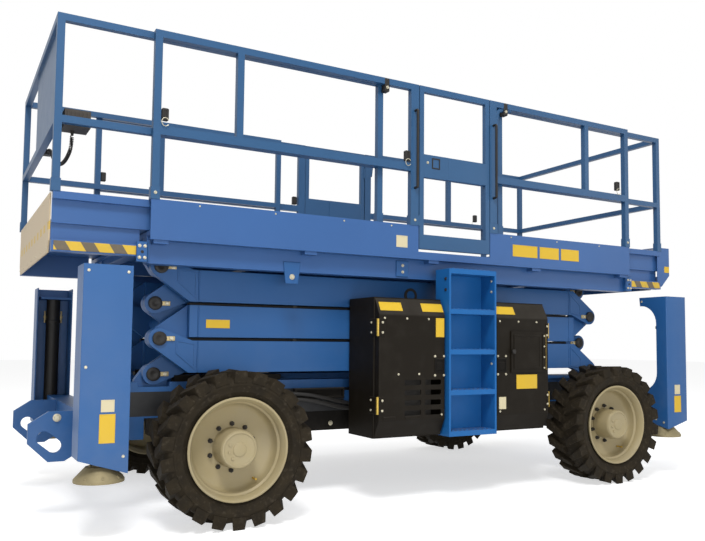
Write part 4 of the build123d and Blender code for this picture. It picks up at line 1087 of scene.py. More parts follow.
# Scissor arms: pin caps with their keeper straps, weld beads, raised end plates
PIN_X = {"front": 1.74, "rear": -1.63}
PIN_Z = [0.800, 1.006, 1.212, 1.418]
ARM_MID_Z = [0.903, 1.109, 1.315]
ARM_MID_X = 0.055
OUTER_FACE_Y = 0.660
INNER_FACE_Y = 0.540
CAP_RINGS = [(0.0400, -0.0020), (0.0400, 0.0070), (0.0370, 0.0095), (0.0150, 0.0095), (0.0130, 0.0080)]
STRAP_LENGTH = 0.088
STRAP_HALF = 0.0135
STRAP_THICK = 0.006
KEEPER_REACH = 0.068
PINS = [
    ("outer_1", "front", 1, OUTER_FACE_Y),
    ("outer_1", "rear", 0, OUTER_FACE_Y),
    ("outer_3", "front", 3, OUTER_FACE_Y),
    ("outer_3", "rear", 2, OUTER_FACE_Y),
    ("inner_1", "front", 0, INNER_FACE_Y),
    ("inner_1", "rear", 1, INNER_FACE_Y),
    ("inner_3", "front", 2, INNER_FACE_Y),
    ("inner_3", "rear", 3, INNER_FACE_Y),
]
ARM_ENDS = {
    "outer_1": {"front": 1, "rear": 0},
    "outer_2": {"front": 1, "rear": 2},
    "outer_3": {"front": 3, "rear": 2},
}
RAISED_ARMS = ("outer_1", "outer_3")
RAISED_ROOT = 0.208
RAISED_TIP = 0.095
RAISED_HALF = 0.077
RAISED_TAPER = 0.52
RAISED_SHIFT = 0.56
RAISED_BORDER = 0.009
RAISED_SINK = 0.0022
SEAM_REACH = 0.222
SEAM_HALF = 0.0045
SEAM_HALF_HEIGHT = 0.091
CAP_SEAT = 0.006
STRAP_START = 0.02
ARM_PLATE_X = (1.327, 1.472)
ARM_PLATE_Z = (1.070, 1.120)
PIVOT_RINGS = [
    (0.0500, -0.0070),
    (0.0500, 0.0020),
    (0.0480, 0.0040),
    (0.0330, 0.0040),
    (0.0310, -0.0010),
    (0.0120, -0.0010),
]


def pin_fittings():
    """Caps on the pins, and the straps and bolts that keep the pins from turning."""
    for body, end, level, face_y in PINS:
        x, z = PIN_X[end], PIN_Z[level]
        inwards = -1 if end == "front" else 1
        caps = []
        straps = []
        heads = []
        for name, side in SIDES.items():
            rings = [(radius, side * place) for radius, place in CAP_RINGS]
            caps.append(tidy(turned(rings, 32, "Y", (x, side * (face_y + CAP_SEAT), z)), 40))
            strap_x = sorted((x + inwards * STRAP_START, x + inwards * STRAP_LENGTH))
            strap_y = between(side, face_y - 0.001, face_y + STRAP_THICK)
            straps.append(slab(strap_x, strap_y, (z - STRAP_HALF, z + STRAP_HALF), 0.002))
            heads.append((name, (x + inwards * KEEPER_REACH, side * (face_y + STRAP_THICK), z)))
        fasten(joined(caps), f"pin_caps_{body}_{end}", "plastic", body)
        fasten(joined(straps), f"keeper_straps_{body}_{end}", "zinc", body)
        for facing, place in heads:
            bolts(f"keeper_bolt_{body}_{end}_{facing}", facing, [place], body, 0.95)


def raised_end(side, end, mid_z, pin_z):
    """A raised plate on an arm's pointed end: tall at the beam, narrow at the pin."""
    towards = 1 if end == "front" else -1
    root = PIN_X[end] - towards * RAISED_ROOT
    tip = PIN_X[end] - towards * RAISED_TIP
    face = between(side, OUTER_FACE_Y - 0.001, OUTER_FACE_Y + 0.003)
    low = (min(root, tip), face[0], mid_z - RAISED_HALF)
    high = (max(root, tip), face[1], mid_z + RAISED_HALF)
    piece = block(low, high)
    open_edit(piece)
    choose(piece, lambda vert: abs(vert.co.x - tip) < 0.001, "VERT")
    bpy.ops.transform.resize(value=(1, 1, RAISED_TAPER), center_override=(tip, 0, mid_z))
    bpy.ops.transform.translate(value=(0, 0, (pin_z - mid_z) * RAISED_SHIFT))
    choose(piece, lambda part: abs(part.normal.y) > 0.9 and side * middle(part).y > OUTER_FACE_Y + 0.002)
    bpy.ops.mesh.inset(thickness=RAISED_BORDER)
    bpy.ops.mesh.extrude_region_move(TRANSFORM_OT_translate={"value": (0, -side * RAISED_SINK, 0)})
    close_edit()
    return tidy(piece)


def arm_trim():
    """Raised ends, weld beads, pivot caps and bare plates on the outer arms."""
    for number, (body, ends) in enumerate(ARM_ENDS.items()):
        mid_z = ARM_MID_Z[number]
        plates = []
        beads = []
        for side in SIDES.values():
            for end, level in ends.items():
                towards = 1 if end == "front" else -1
                if body in RAISED_ARMS:
                    plates.append(raised_end(side, end, mid_z, PIN_Z[level]))
                seam = PIN_X[end] - towards * SEAM_REACH
                bead_x = (seam - SEAM_HALF, seam + SEAM_HALF)
                bead_y = between(side, OUTER_FACE_Y - 0.002, OUTER_FACE_Y + 0.0035)
                bead_z = (mid_z - SEAM_HALF_HEIGHT, mid_z + SEAM_HALF_HEIGHT)
                beads.append(slab(bead_x, bead_y, bead_z, 0.003))
        if plates:
            fasten(joined(plates), f"raised_ends_{body}", "blue", body)
        fasten(joined(beads), f"weld_beads_{body}", "blue", body)
        rings = []
        for side in SIDES.values():
            pivot = (ARM_MID_X, side * (OUTER_FACE_Y + CAP_SEAT), mid_z)
            profile = [(radius, side * place) for radius, place in PIVOT_RINGS]
            rings.append(tidy(turned(profile, 40, "Y", pivot), 40))
        fasten(joined(rings), f"pivot_caps_{body}", "iron", body)
    plates = []
    for side in SIDES.values():
        plate_y = between(side, OUTER_FACE_Y - 0.0005, OUTER_FACE_Y + 0.0016)
        plates.append(slab(ARM_PLATE_X, plate_y, ARM_PLATE_Z, 0.0008))
    fasten(joined(plates), "arm_plates", "yellow", "outer_2")


pin_fittings()
arm_trim()


# Platform sides: striped skid plates, guide brackets, stops, post sockets
SKID_Z = (1.451, 1.499)
SKID_FACE_Y = 0.866
SKID_ENDS = {
    "front_extension": (1.926, 2.336),
    "rear_extension": (-2.212, -1.862),
}
BRACKET_Z = (1.413, 1.524)
BRACKET_Y = (0.872, 0.880)
BRACKET_WING = (-0.004, 0.062)
FLANGE_THICK = 0.009
FLANGE_INNER_Y = 0.790
GUIDE_BOLT_REACH = (0.018, 0.046)
GUIDE_BOLT_Z = (1.437, 1.500)
GUIDE_PLUG_RINGS = [(0.0085, 0.0), (0.0085, 0.0015), (0.0060, 0.0016)]
GUIDE_PLUG_REACH = 0.032
GUIDE_PLUG_Z = 1.468
STOP_X = (0.958, 1.070)
STOP_Y = (0.838, 0.853)
STOP_Z = (1.338, 1.470)
STOP_MID_X = 1.014
STOP_TAPER = 0.72
STOP_BOLT_Z = 1.380
DECK_ENDS = {"front": (1, 1.865), "rear": (-1, -1.810)}
SKIRT_FACE_Y = 0.915
TOE_TOP_Z = 1.755


def skid_stripes():
    """Striped plates on the skids of both extensions."""
    for body, span in SKID_ENDS.items():
        plates = []
        for side in SIDES.values():
            face = between(side, SKID_FACE_Y - 0.0005, SKID_FACE_Y + 0.0018)
            plates.append(slab(span, face, SKID_Z, 0.0008))
        fasten(joined(plates), f"striped_plates_{body}", "stripe", body)


def guide_bracket(side, end):
    """A bent bracket on a side beam's end that guides the sliding skid."""
    towards, face_x = DECK_ENDS[end]
    wing_x = sorted(face_x + towards * reach for reach in BRACKET_WING)
    wing = slab(wing_x, between(side, *BRACKET_Y), BRACKET_Z, 0.003)
    flange_x = sorted((face_x, face_x + towards * FLANGE_THICK))
    flange = slab(flange_x, between(side, FLANGE_INNER_Y, BRACKET_Y[1]), BRACKET_Z, 0.003)
    return [wing, flange]


def guide_brackets():
    """The guide brackets of both ends, with their bolts and plugs."""
    for end, (towards, face_x) in DECK_ENDS.items():
        shells = []
        for name, side in SIDES.items():
            shells += guide_bracket(side, end)
            places = []
            for reach in GUIDE_BOLT_REACH:
                for z in GUIDE_BOLT_Z:
                    places.append((face_x + towards * reach, side * BRACKET_Y[1], z))
            bolts(f"guide_bolts_{end}_{name}", name, places, "platform", 0.72)
            rings = [(radius, side * place) for radius, place in GUIDE_PLUG_RINGS]
            seat = (face_x + towards * GUIDE_PLUG_REACH, side * BRACKET_Y[1], GUIDE_PLUG_Z)
            plug = turned(rings, 20, "Y", seat)
            fasten(tidy(plug, 40), f"guide_plug_{end}_{name}", "plastic", "platform")
        fasten(joined(shells), f"guide_brackets_{end}", "blue", "platform")


def stop_tabs():
    """Tapered tabs under the side beams, each on one bolt."""
    tabs = []
    for name, side in SIDES.items():
        low_y, high_y = between(side, *STOP_Y)
        tab = block((STOP_X[0], low_y, STOP_Z[0]), (STOP_X[1], high_y, STOP_Z[1]))
        open_edit(tab)
        choose(tab, lambda vert: vert.co.z < STOP_Z[0] + 0.012, "VERT")
        bpy.ops.transform.resize(value=(STOP_TAPER, 1, 1), center_override=(STOP_MID_X, 0, STOP_Z[0]))
        choose(tab, sharp, "EDGE")
        bpy.ops.mesh.bevel(offset=0.003, segments=1, affect="EDGES")
        close_edit()
        tabs.append(tidy(tab))
        places = [(STOP_MID_X, side * STOP_Y[1], STOP_BOLT_Z)]
        bolts(f"stop_bolt_{name}", name, places, "platform", 1.3)
    fasten(joined(tabs), "stop_tabs", "blue", "platform")


POST_SOCKETS = {
    "platform": [
        (1.845, 0.040, 0.895),
        (-1.790, 0.040, 0.895),
        (0.185, 0.060, 0.895),
        (-0.464, 0.060, 0.895),
    ],
    "front_extension": [(2.335, 0.038, 0.847), (0.419, 0.038, 0.847)],
    "rear_extension": [(-2.213, 0.038, 0.847), (-0.564, 0.038, 0.847)],
}
POST_DEPTH = {"platform": 0.040, "front_extension": 0.038, "rear_extension": 0.038}
SOCKET_WALL = 0.005
SOCKET_SIDE_WALL = SOCKET_WALL * 0.8
SOCKET_LIP = SOCKET_WALL * 0.6
SOCKET_HEIGHT = 0.066
SOCKET_BOLT_RISE = 0.034


def post_socket(x, width, y, deep):
    """A square sleeve round a post's foot, with a lip at its top."""
    half_x = width / 2 + SOCKET_WALL
    half_y = deep / 2 + SOCKET_SIDE_WALL
    low = (x - half_x, y - half_y, TOE_TOP_Z - 0.001)
    high = (x + half_x, y + half_y, TOE_TOP_Z + SOCKET_HEIGHT)
    sleeve = block(low, high)
    open_edit(sleeve)
    choose(sleeve, lambda face: face.normal.z > 0.9)
    bpy.ops.mesh.inset(thickness=SOCKET_LIP)
    bpy.ops.mesh.extrude_region_move(TRANSFORM_OT_translate={"value": (0, 0, -0.006)})
    choose(sleeve, lambda edge: sharp(edge) and abs(edge.verts[0].co.z - edge.verts[1].co.z) > 0.03, "EDGE")
    bpy.ops.mesh.bevel(offset=0.003, segments=2, affect="EDGES")
    close_edit()
    return tidy(sleeve)


def post_sockets():
    """Sleeves at the feet of the rail posts."""
    for body, posts in POST_SOCKETS.items():
        deep = POST_DEPTH[body]
        sleeves = []
        for name, side in SIDES.items():
            places = []
            for x, width, y in posts:
                sleeves.append(post_socket(x, width, side * y, deep))
                face = y + deep / 2 + SOCKET_SIDE_WALL
                places.append((x, side * face, TOE_TOP_Z + SOCKET_BOLT_RISE))
            if body == "platform":
                bolts(f"socket_bolts_{body}_{name}", name, places, body, 0.7)
        fasten(joined(sleeves), f"post_sockets_{body}", "rail", body)


skid_stripes()
guide_brackets()
stop_tabs()
post_sockets()


# Guardrail fittings: grab bars, rail guides, braces and latches
GRAB_X = (0.185, -0.464)
GRAB_Z = (2.000, 2.512)
GRAB_REACH = 0.948
GRAB_FOOT_Y = 0.912
GRAB_BEND = 0.022
GRAB_RADIUS = 0.0085
GUIDE_X = (0.400, -0.575)
GUIDE_HALF = 0.017
GUIDE_Y = (0.8690, 0.9195)
GUIDE_Z = (2.602, 2.6885)
RAIL_GUIDE_BOLT_Z = 2.628
RAIL_MID_Y = 0.895
BRACE_PLACES = [(-0.639, 2.655), (-0.514, 2.635), (-0.498, 2.500)]
BRACE_BEND = 0.07
BRACE_RADIUS = 0.0165


def rail_fittings():
    """Grab bars beside the gates, guides on the top rails and a bent brace."""
    for name, side in SIDES.items():
        for number, x in enumerate(GRAB_X):
            low, high = GRAB_Z
            corners = [
                (x, side * GRAB_FOOT_Y, high),
                (x, side * GRAB_REACH, high),
                (x, side * GRAB_REACH, low),
                (x, side * GRAB_FOOT_Y, low),
            ]
            route = eased(corners, GRAB_BEND)
            bent_bar(f"grab_bar_{name}_{number}", route, GRAB_RADIUS, "plastic", "platform")
        guides = []
        for x in GUIDE_X:
            face = between(side, *GUIDE_Y)
            guides.append(slab((x - GUIDE_HALF, x + GUIDE_HALF), face, GUIDE_Z, 0.004))
        fasten(joined(guides), f"rail_guides_{name}", "plastic", "platform")
        places = [(x, side * GUIDE_Y[1], RAIL_GUIDE_BOLT_Z) for x in GUIDE_X]
        bolts(f"rail_guide_bolts_{name}", name, places, "platform", 0.8)
        route = eased([(x, side * RAIL_MID_Y, z) for x, z in BRACE_PLACES], BRACE_BEND)
        bent_bar(f"rail_brace_{name}", route, BRACE_RADIUS, "rail", "platform")


LATCH_PLACES = [(1.803, 2.224), (-1.690, 2.224), (0.242, 2.205)]
LATCH_HALF = (0.019, 0.034)
LATCH_Y = (0.890, 0.922)
RING_Y = 0.924
RING_DROP = 0.044
RING_SIZE = (0.021, 0.024)
RING_WIRE = 0.0022
RING_ANGLES = [radians(-60 + step * 37.5) for step in range(9)]


def rail_latches():
    """Black latch blocks on the posts, each with a wire ring through its pin."""
    for name, side in SIDES.items():
        blocks = []
        for number, (x, z) in enumerate(LATCH_PLACES):
            housing_x = (x - LATCH_HALF[0], x + LATCH_HALF[0])
            housing_z = (z - LATCH_HALF[1], z + LATCH_HALF[1])
            housing = slab(housing_x, between(side, *LATCH_Y), housing_z, 0.005)
            blocks.append(dished(housing, name, 0.007, 0.003))
            ring = []
            for angle in RING_ANGLES:
                ring_x = x + RING_SIZE[0] * sin(angle)
                ring.append((ring_x, side * RING_Y, z - RING_DROP + RING_SIZE[1] * cos(angle)))
            bent_bar(f"latch_ring_{name}_{number}", ring, RING_WIRE, "bolt", "platform")
        fasten(joined(blocks), f"rail_latches_{name}", "plastic", "platform")


rail_fittings()
rail_latches()


# Cabinets: hollow shells, folded pan doors, hinges, latches and bare plates
CABINET_X = {"front": (0.040, 0.535), "rear": (-0.830, -0.367)}
CABINET_Z = (0.412, 1.272)
CABINET_BACK_Y = 0.682
CABINET_MOUTH_Y = 1.004
PAN_BASE_Y = 1.0046
PAN_FACE_Y = 1.0594
PAN_MARGIN = 0.006
PAN_WALL = 0.008
PAN_MID_Z = 0.842
HOOD_FOLD = 0.102
KICK_FOLD = 0.104
HINGE_X = {"front": 0.533, "rear": -0.828}
HINGE_Y = 1.0524
HINGE_LOW_Z = (0.561, 1.032)
HINGE_HEIGHT = 0.105
LEAF_WIDTH = {"front": 0.043, "rear": 0.022}
OUTWARDS = {"front": 1, "rear": -1}
SLOT_HALF = (0.060, 0.016)
SLOT_X = (0.135, 0.285)
SLOT_Z = (0.562, 0.624, 0.686, 0.748)
BARREL_RINGS = [
    (0.0085, 0.0),
    (0.0090, 0.001),
    (0.0090, 0.034),
    (0.0078, 0.0345),
    (0.0078, 0.0355),
    (0.0090, 0.036),
    (0.0090, 0.069),
    (0.0078, 0.0695),
    (0.0078, 0.0705),
    (0.0090, 0.071),
    (0.0090, 0.104),
    (0.0085, 0.105),
]
DOOR_LATCH_X = {"front": 0.0875, "rear": -0.416}
DOOR_LATCH_Z = 0.850
HOOD_TILT = radians(28.3)
HOOD_MID = (1.0320, 1.2150)
HOOD_PLATE_HALF = 0.030
WING_INNER_Y = 0.958
WING_X = (0.0016, 0.0052)
WING_BOLT_Y = 0.980
LEAF_GAP = 0.002
LEAF_BOLT_SHARE = 0.64
HINGE_BOLT_INSET = 0.022
LATCH_PLATE_HALF = (0.036, 0.046)
PADDLE_HALF = 0.024
PADDLE_Z = (-0.030, 0.018)
LATCH_BOLT_X = (-0.034, 0.034)
LATCH_BOLT_Z = (-0.060, 0.060)
KICK_TABS_X = ((0.414, 0.498), (0.233, 0.342))
KICK_TABS_Z = (0.526, 0.546)
FACE_PLATES = {"front": ((0.052, 0.116), (1.030, 1.150)), "rear": ((-0.722, -0.540), (0.690, 0.785))}
CREAM_PLATE = ((-0.450, -0.390), (0.560, 0.640))
HOOD_PLATES = {"front": [(0.433, 0.160), (0.128, 0.160)], "rear": [(-0.460, 0.165)]}
FACE_BOLTS = {
    "front": [(0.490, 1.142), (0.330, 1.142), (0.170, 1.142), (0.390, 0.800), (0.240, 0.800), (0.070, 0.545)],
    "rear": [(-0.400, 1.142), (-0.560, 1.142), (-0.720, 1.142), (-0.400, 0.545), (-0.790, 0.545)],
}


def to_side(piece, side):
    """The piece as it is on the left, or its mirror image on the right."""
    if side < 0:
        piece.matrix_world = Matrix.Scale(-1, 4, (0, 1, 0)) @ piece.matrix_world
    return tidy(piece)


def cabinet_shell(x):
    """A sheet-metal box, open outwards."""
    shell = block((x[0], CABINET_BACK_Y, CABINET_Z[0]), (x[1], CABINET_MOUTH_Y, CABINET_Z[1]))
    deep = CABINET_BACK_Y + PAN_WALL - CABINET_MOUTH_Y
    open_edit(shell)
    choose(shell, lambda face: face.normal.y > 0.9)
    bpy.ops.mesh.inset(thickness=PAN_WALL)
    bpy.ops.mesh.extrude_region_move(TRANSFORM_OT_translate={"value": (0, deep, 0)})
    choose(shell, lambda edge: on_outer_corner(edge, x), "EDGE")
    bpy.ops.mesh.bevel(offset=0.006, segments=2, affect="EDGES")
    close_edit()
    return tidy(shell)


def on_outer_corner(edge, x):
    """Whether an edge is one of a box's upright outer corners."""
    low, high = edge.verts
    upright = abs(low.co.z - high.co.z) > 0.5
    return upright and min(abs(low.co.x - x[0]), abs(low.co.x - x[1])) < 0.001


def fold_pan(pan, y, share):
    """In edit mode, bring the hood and the kick edge in at one depth of a door pan."""
    choose(pan, lambda vert: abs(vert.co.y - y) < 0.0004 and vert.co.z > PAN_MID_Z, "VERT")
    bpy.ops.transform.translate(value=(0, 0, -HOOD_FOLD * share))
    choose(pan, lambda vert: abs(vert.co.y - y) < 0.0004 and vert.co.z < PAN_MID_Z, "VERT")
    bpy.ops.transform.translate(value=(0, 0, KICK_FOLD * share))


def cut_away(piece, cutter):
    """Cut one piece out of another."""
    cut = piece.modifiers.new("cut", "BOOLEAN")
    cut.operation = "DIFFERENCE"
    cut.solver = "EXACT"
    cut.object = cutter
    only(piece)
    bpy.ops.object.modifier_apply(modifier=cut.name)
    bpy.data.objects.remove(cutter)
    return tidy(piece)


def thickened(sheet, thickness):
    """Give an open sheet its thickness, inwards."""
    wall = sheet.modifiers.new("wall", "SOLIDIFY")
    wall.thickness = thickness
    wall.offset = -1
    only(sheet)
    bpy.ops.object.modifier_apply(modifier=wall.name)
    return tidy(sheet)


def cut_slots(pan):
    """Cut the rows of air slots through a door's face."""
    cutters = []
    for x in SLOT_X:
        for z in SLOT_Z:
            low = (x - SLOT_HALF[0], PAN_FACE_Y - 0.03, z - SLOT_HALF[1])
            high = (x + SLOT_HALF[0], PAN_FACE_Y + 0.03, z + SLOT_HALF[1])
            cutters.append(block(low, high, 0.006, 2))
    return cut_away(pan, joined(cutters))


def pan_door(x, slotted):
    """A door folded as a pan: its face stands out between a sloped hood and a sloped kick."""
    low, high = CABINET_Z[0] + PAN_MARGIN, CABINET_Z[1] - PAN_MARGIN
    pan = block((x[0] + PAN_MARGIN, PAN_BASE_Y, low), (x[1] - PAN_MARGIN, PAN_FACE_Y, high))
    depth = PAN_FACE_Y - PAN_BASE_Y
    hollow = depth - PAN_WALL
    open_edit(pan)
    fold_pan(pan, PAN_FACE_Y, 1.0)
    choose(pan, lambda face: face.normal.y < -0.9)
    bpy.ops.mesh.inset(thickness=PAN_WALL)
    bpy.ops.mesh.extrude_region_move(TRANSFORM_OT_translate={"value": (0, hollow, 0)})
    fold_pan(pan, PAN_BASE_Y + hollow, hollow / depth)
    choose(pan, lambda edge: min(vert.co.y for vert in edge.verts) > PAN_FACE_Y - 0.001, "EDGE")
    bpy.ops.mesh.bevel(offset=0.005, segments=2, affect="EDGES")
    close_edit()
    return cut_slots(tidy(pan)) if slotted else tidy(pan)


def door_hinges(end, name, side):
    """Two hinges of a door: barrels and leaves that swing with it, and wings on the cabinet."""
    hinge_x = HINGE_X[end]
    out = OUTWARDS[end]
    body = f"door_{end}_{name}"
    barrels = []
    moving = []
    fixed = []
    leaf_places = []
    wing_places = []
    for low in HINGE_LOW_Z:
        height = (low, low + HINGE_HEIGHT)
        barrels.append(tidy(turned(BARREL_RINGS, 16, "Z", (hinge_x, side * HINGE_Y, low)), 40))
        leaf_x = sorted((hinge_x - out * LEAF_GAP, hinge_x - out * (LEAF_GAP + LEAF_WIDTH[end])))
        moving.append(slab(leaf_x, between(side, PAN_FACE_Y - 0.001, PAN_FACE_Y + 0.003), height))
        wing_x = sorted(hinge_x + out * reach for reach in WING_X)
        fixed.append(slab(wing_x, between(side, WING_INNER_Y, HINGE_Y), height))
        for z in (low + HINGE_BOLT_INSET, low + HINGE_HEIGHT - HINGE_BOLT_INSET):
            leaf_bolt_x = hinge_x - out * LEAF_WIDTH[end] * LEAF_BOLT_SHARE
            leaf_places.append((leaf_bolt_x, side * (PAN_FACE_Y + 0.003), z))
            wing_places.append((hinge_x + out * WING_X[1], side * WING_BOLT_Y, z))
    fasten(joined(barrels), f"hinge_barrels_{end}_{name}", "gold", body)
    fasten(joined(moving), f"hinge_leaves_{end}_{name}", "cabinet", body)
    fasten(joined(fixed), f"hinge_wings_{end}_{name}", "cabinet", "chassis")
    bolts(f"hinge_leaf_bolts_{end}_{name}", name, leaf_places, body, 0.6)
    bolts(f"hinge_wing_bolts_{end}_{name}", end, wing_places, "chassis", 0.6)


def door_latch(end, name, side):
    """A recessed paddle latch with four bolts round it."""
    x = DOOR_LATCH_X[end]
    body = f"door_{end}_{name}"
    plate_y = between(side, PAN_FACE_Y - 0.001, PAN_FACE_Y + 0.0045)
    plate_x = (x - LATCH_PLATE_HALF[0], x + LATCH_PLATE_HALF[0])
    plate_z = (DOOR_LATCH_Z - LATCH_PLATE_HALF[1], DOOR_LATCH_Z + LATCH_PLATE_HALF[1])
    plate = dished(slab(plate_x, plate_y, plate_z, 0.002), name, 0.008, 0.004)
    paddle_y = between(side, PAN_FACE_Y, PAN_FACE_Y + 0.0035)
    paddle_z = (DOOR_LATCH_Z + PADDLE_Z[0], DOOR_LATCH_Z + PADDLE_Z[1])
    paddle = slab((x - PADDLE_HALF, x + PADDLE_HALF), paddle_y, paddle_z, 0.001)
    fasten(joined([plate, paddle]), f"door_latch_{end}_{name}", "belly", body)
    corners = []
    for along in LATCH_BOLT_X:
        for rise in LATCH_BOLT_Z:
            corners.append((x + along, side * PAN_FACE_Y, DOOR_LATCH_Z + rise))
    bolts(f"door_latch_bolts_{end}_{name}", name, corners, body, 0.62)


def bare_plate(x, z, face_y, facing):
    """A thin blank plate with a pressed border, on a face that looks sideways."""
    plate = slab(x, between(SIDES[facing], face_y - 0.0008, face_y + 0.0016), z, 0.0007)
    return dished(plate, facing, 0.004, 0.0006)


def hood_plate(x_mid, width, side):
    """A blank plate on a door's sloped hood."""
    height = (-HOOD_PLATE_HALF, HOOD_PLATE_HALF)
    plate = slab((-width / 2, width / 2), (-0.0008, 0.0016), height, 0.0007)
    plate = dished(plate, "left", 0.004, 0.0006)
    lean = Matrix.Rotation(HOOD_TILT, 4, "X")
    plate.matrix_world = Matrix.Translation((x_mid, *HOOD_MID)) @ lean
    return to_side(tidy(plate), side)


def cabinets():
    """Shells, doors and door fittings of the four cabinets."""
    for name, side in SIDES.items():
        for end, x in CABINET_X.items():
            body = f"door_{end}_{name}"
            shell = to_side(cabinet_shell(x), side)
            fasten(shell, f"cabinet_shell_{end}_{name}", "cabinet", "chassis")
            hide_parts(f"cabinet_{end}_{name}")
            pan = to_side(pan_door(x, end == "front"), side)
            fasten(pan, f"door_pan_{end}_{name}", "cabinet", body)
            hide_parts(body)
            door_hinges(end, name, side)
            door_latch(end, name, side)
            plates = [hood_plate(x_mid, width, side) for x_mid, width in HOOD_PLATES[end]]
            plates.append(bare_plate(*FACE_PLATES[end], PAN_FACE_Y, name))
            if end == "front":
                tab_y = between(side, PAN_FACE_Y - 0.001, PAN_FACE_Y + 0.004)
                tabs = [slab(tab_x, tab_y, KICK_TABS_Z, 0.002) for tab_x in KICK_TABS_X]
                fasten(joined(tabs), f"kick_tabs_{name}", "cabinet", body)
            else:
                label = bare_plate(*CREAM_PLATE, PAN_FACE_Y, name)
                fasten(label, f"cream_plate_{name}", "cream", body)
            fasten(joined(plates), f"yellow_plates_{end}_{name}", "yellow", body)
            places = [(bolt_x, side * PAN_FACE_Y, bolt_z) for bolt_x, bolt_z in FACE_BOLTS[end]]
            bolts(f"door_bolts_{end}_{name}", name, places, body, 0.55)


HATCH_LEAF = ((-0.7945, -0.766), (1.0692, 1.0714), (0.815, 1.063))
HATCH_BAR_RINGS = [(0.0050, 0.0), (0.0056, 0.001), (0.0056, 0.246), (0.0050, 0.247)]
HATCH_BAR_FOOT = (-0.795, 1.0648, 0.8155)
HATCH_BOLTS = [(-0.779, 1.0714, z) for z in (0.830, 0.903, 0.976, 1.048)]
HATCH_PANEL = ((-0.748, -0.512), (1.0690, 1.0722), (0.824, 1.054))
KNOB_RINGS = [(0.011, -0.001), (0.011, 0.006), (0.015, 0.009), (0.015, 0.017), (0.012, 0.020)]
KNOB_SEAT = (-0.501, 1.0698, 0.940)


def hatch_fittings():
    """The control hatch's hinge, pressed panel and knob."""
    strip = slab(*HATCH_LEAF, 0.0006)
    bar = tidy(turned(HATCH_BAR_RINGS, 14, "Z", HATCH_BAR_FOOT), 40)
    fasten(strip, "hatch_leaf", "cabinet", "hatch")
    fasten(bar, "hatch_hinge", "gold", "hatch")
    bolts("hatch_hinge_bolts", "left", HATCH_BOLTS, "hatch", 0.5)
    panel = dished(slab(*HATCH_PANEL, 0.0012), "left", 0.012, 0.002)
    fasten(panel, "hatch_panel", "cabinet", "hatch")
    knob = tidy(turned(KNOB_RINGS, 24, "Y", KNOB_SEAT), 40)
    fasten(knob, "hatch_knob", "plastic", "hatch")


cabinets()
hatch_fittings()


# Ladders: back sheets, grip strips on the treads, fixing bolts
LADDER_INSIDE_X = (-0.3365, 0.0165)
LADDER_FOLD_X = -0.085
LADDER_BACK_Y = 0.934
TREAD_TOPS = [0.437 + 0.25825 * number for number in range(5)]
GRIP_HALF = 0.160
GRIP_Y = (0.955, 1.078)
LADDER_MID_X = -0.160
LADDER_BACK_Z = (0.425, 1.452)
BACK_LAYERS = {"whole": (0.0, 0.004), "doubled": (0.003, 0.010)}
BUTTON_RINGS = [(0.0085, 0.0), (0.0085, 0.0025), (0.0060, 0.0045), (0.0040, 0.0045)]
BUTTON_X = [LADDER_MID_X + (number - 4) * 0.036 for number in range(9)]
BUTTON_Y = 1.062
LADDER_BOLTS = [(0.030, 1.045, z) for z in (1.405, 1.335)]
LADDER_INNER_BOLTS = [(-0.336, 1.050, z) for z in (1.405, 1.335, 0.860)]


def back_layer(layer, x, side):
    """Low and high ends of one layer of a ladder's back sheet."""
    near, far = BACK_LAYERS[layer]
    return x, between(side, LADDER_BACK_Y + near, LADDER_BACK_Y + far), LADDER_BACK_Z


def ladder_fittings():
    """Back sheets, grip strips, raised buttons and bolts of both ladders."""
    for name, side in SIDES.items():
        whole = slab(*back_layer("whole", LADDER_INSIDE_X, side), 0.001)
        doubled = slab(*back_layer("doubled", (LADDER_FOLD_X, LADDER_INSIDE_X[1]), side), 0.002)
        fasten(joined([whole, doubled]), f"ladder_back_{name}", "ladder", "chassis")
        strips = []
        buttons = []
        for top in TREAD_TOPS:
            strip_x = (LADDER_MID_X - GRIP_HALF, LADDER_MID_X + GRIP_HALF)
            strips.append(slab(strip_x, between(side, *GRIP_Y), (top - 0.001, top + 0.0025), 0.001))
            for x in BUTTON_X:
                buttons.append(tidy(turned(BUTTON_RINGS, 10, "Z", (x, side * BUTTON_Y, top + 0.002))))
        fasten(joined(strips), f"tread_strips_{name}", "tread", "chassis")
        fasten(joined(buttons), f"tread_buttons_{name}", "ladder", "chassis")
        places = [(x, side * y, z) for x, y, z in LADDER_BOLTS]
        bolts(f"ladder_bolts_{name}", "front", places, "chassis", 0.85, "plastic")
        places = [(x, side * y, z) for x, y, z in LADDER_INNER_BOLTS]
        bolts(f"ladder_inner_bolts_{name}", "front", places, "chassis", 0.7)


ladder_fittings()


# Hydraulic lines along the outer arms, a tray and pipes on the chassis
LINE_RADIUS = 0.0085
ARM_LINES = {"outer_1": 1.0040, "outer_2": 1.2100}
LINE_Y = (0.592, 0.612, 0.632)
LINE_X = (-1.400, 1.565)
CLIP_X = (-1.0, -0.45, 0.30, 0.90)
CLIP_HALF = 0.012
CLIP_Z = (-0.0095, 0.0098)
CHANNEL = ((0.541, 0.889), (0.610, 0.640), (0.635, 0.702))
PIPE_ROUTE = [
    (0.930, 0.618, 0.672),
    (0.820, 0.650, 0.668),
    (0.690, 0.656, 0.640),
    (0.560, 0.640, 0.606),
    (0.470, 0.604, 0.598),
]
PIPE_DROPS = (0.0, 0.034)
PIPE_RADIUS = 0.013
LEDGE = ((0.950, 1.620), (0.480, 0.554), (0.690, 0.792))
TIE_DOWN_BOLT = (2.240, 0.474, 0.565)
BELLY_BOLTS = [(0.597, 0.552, 0.469), (-0.300, 0.552, 0.469), (0.950, 0.552, 0.469)]


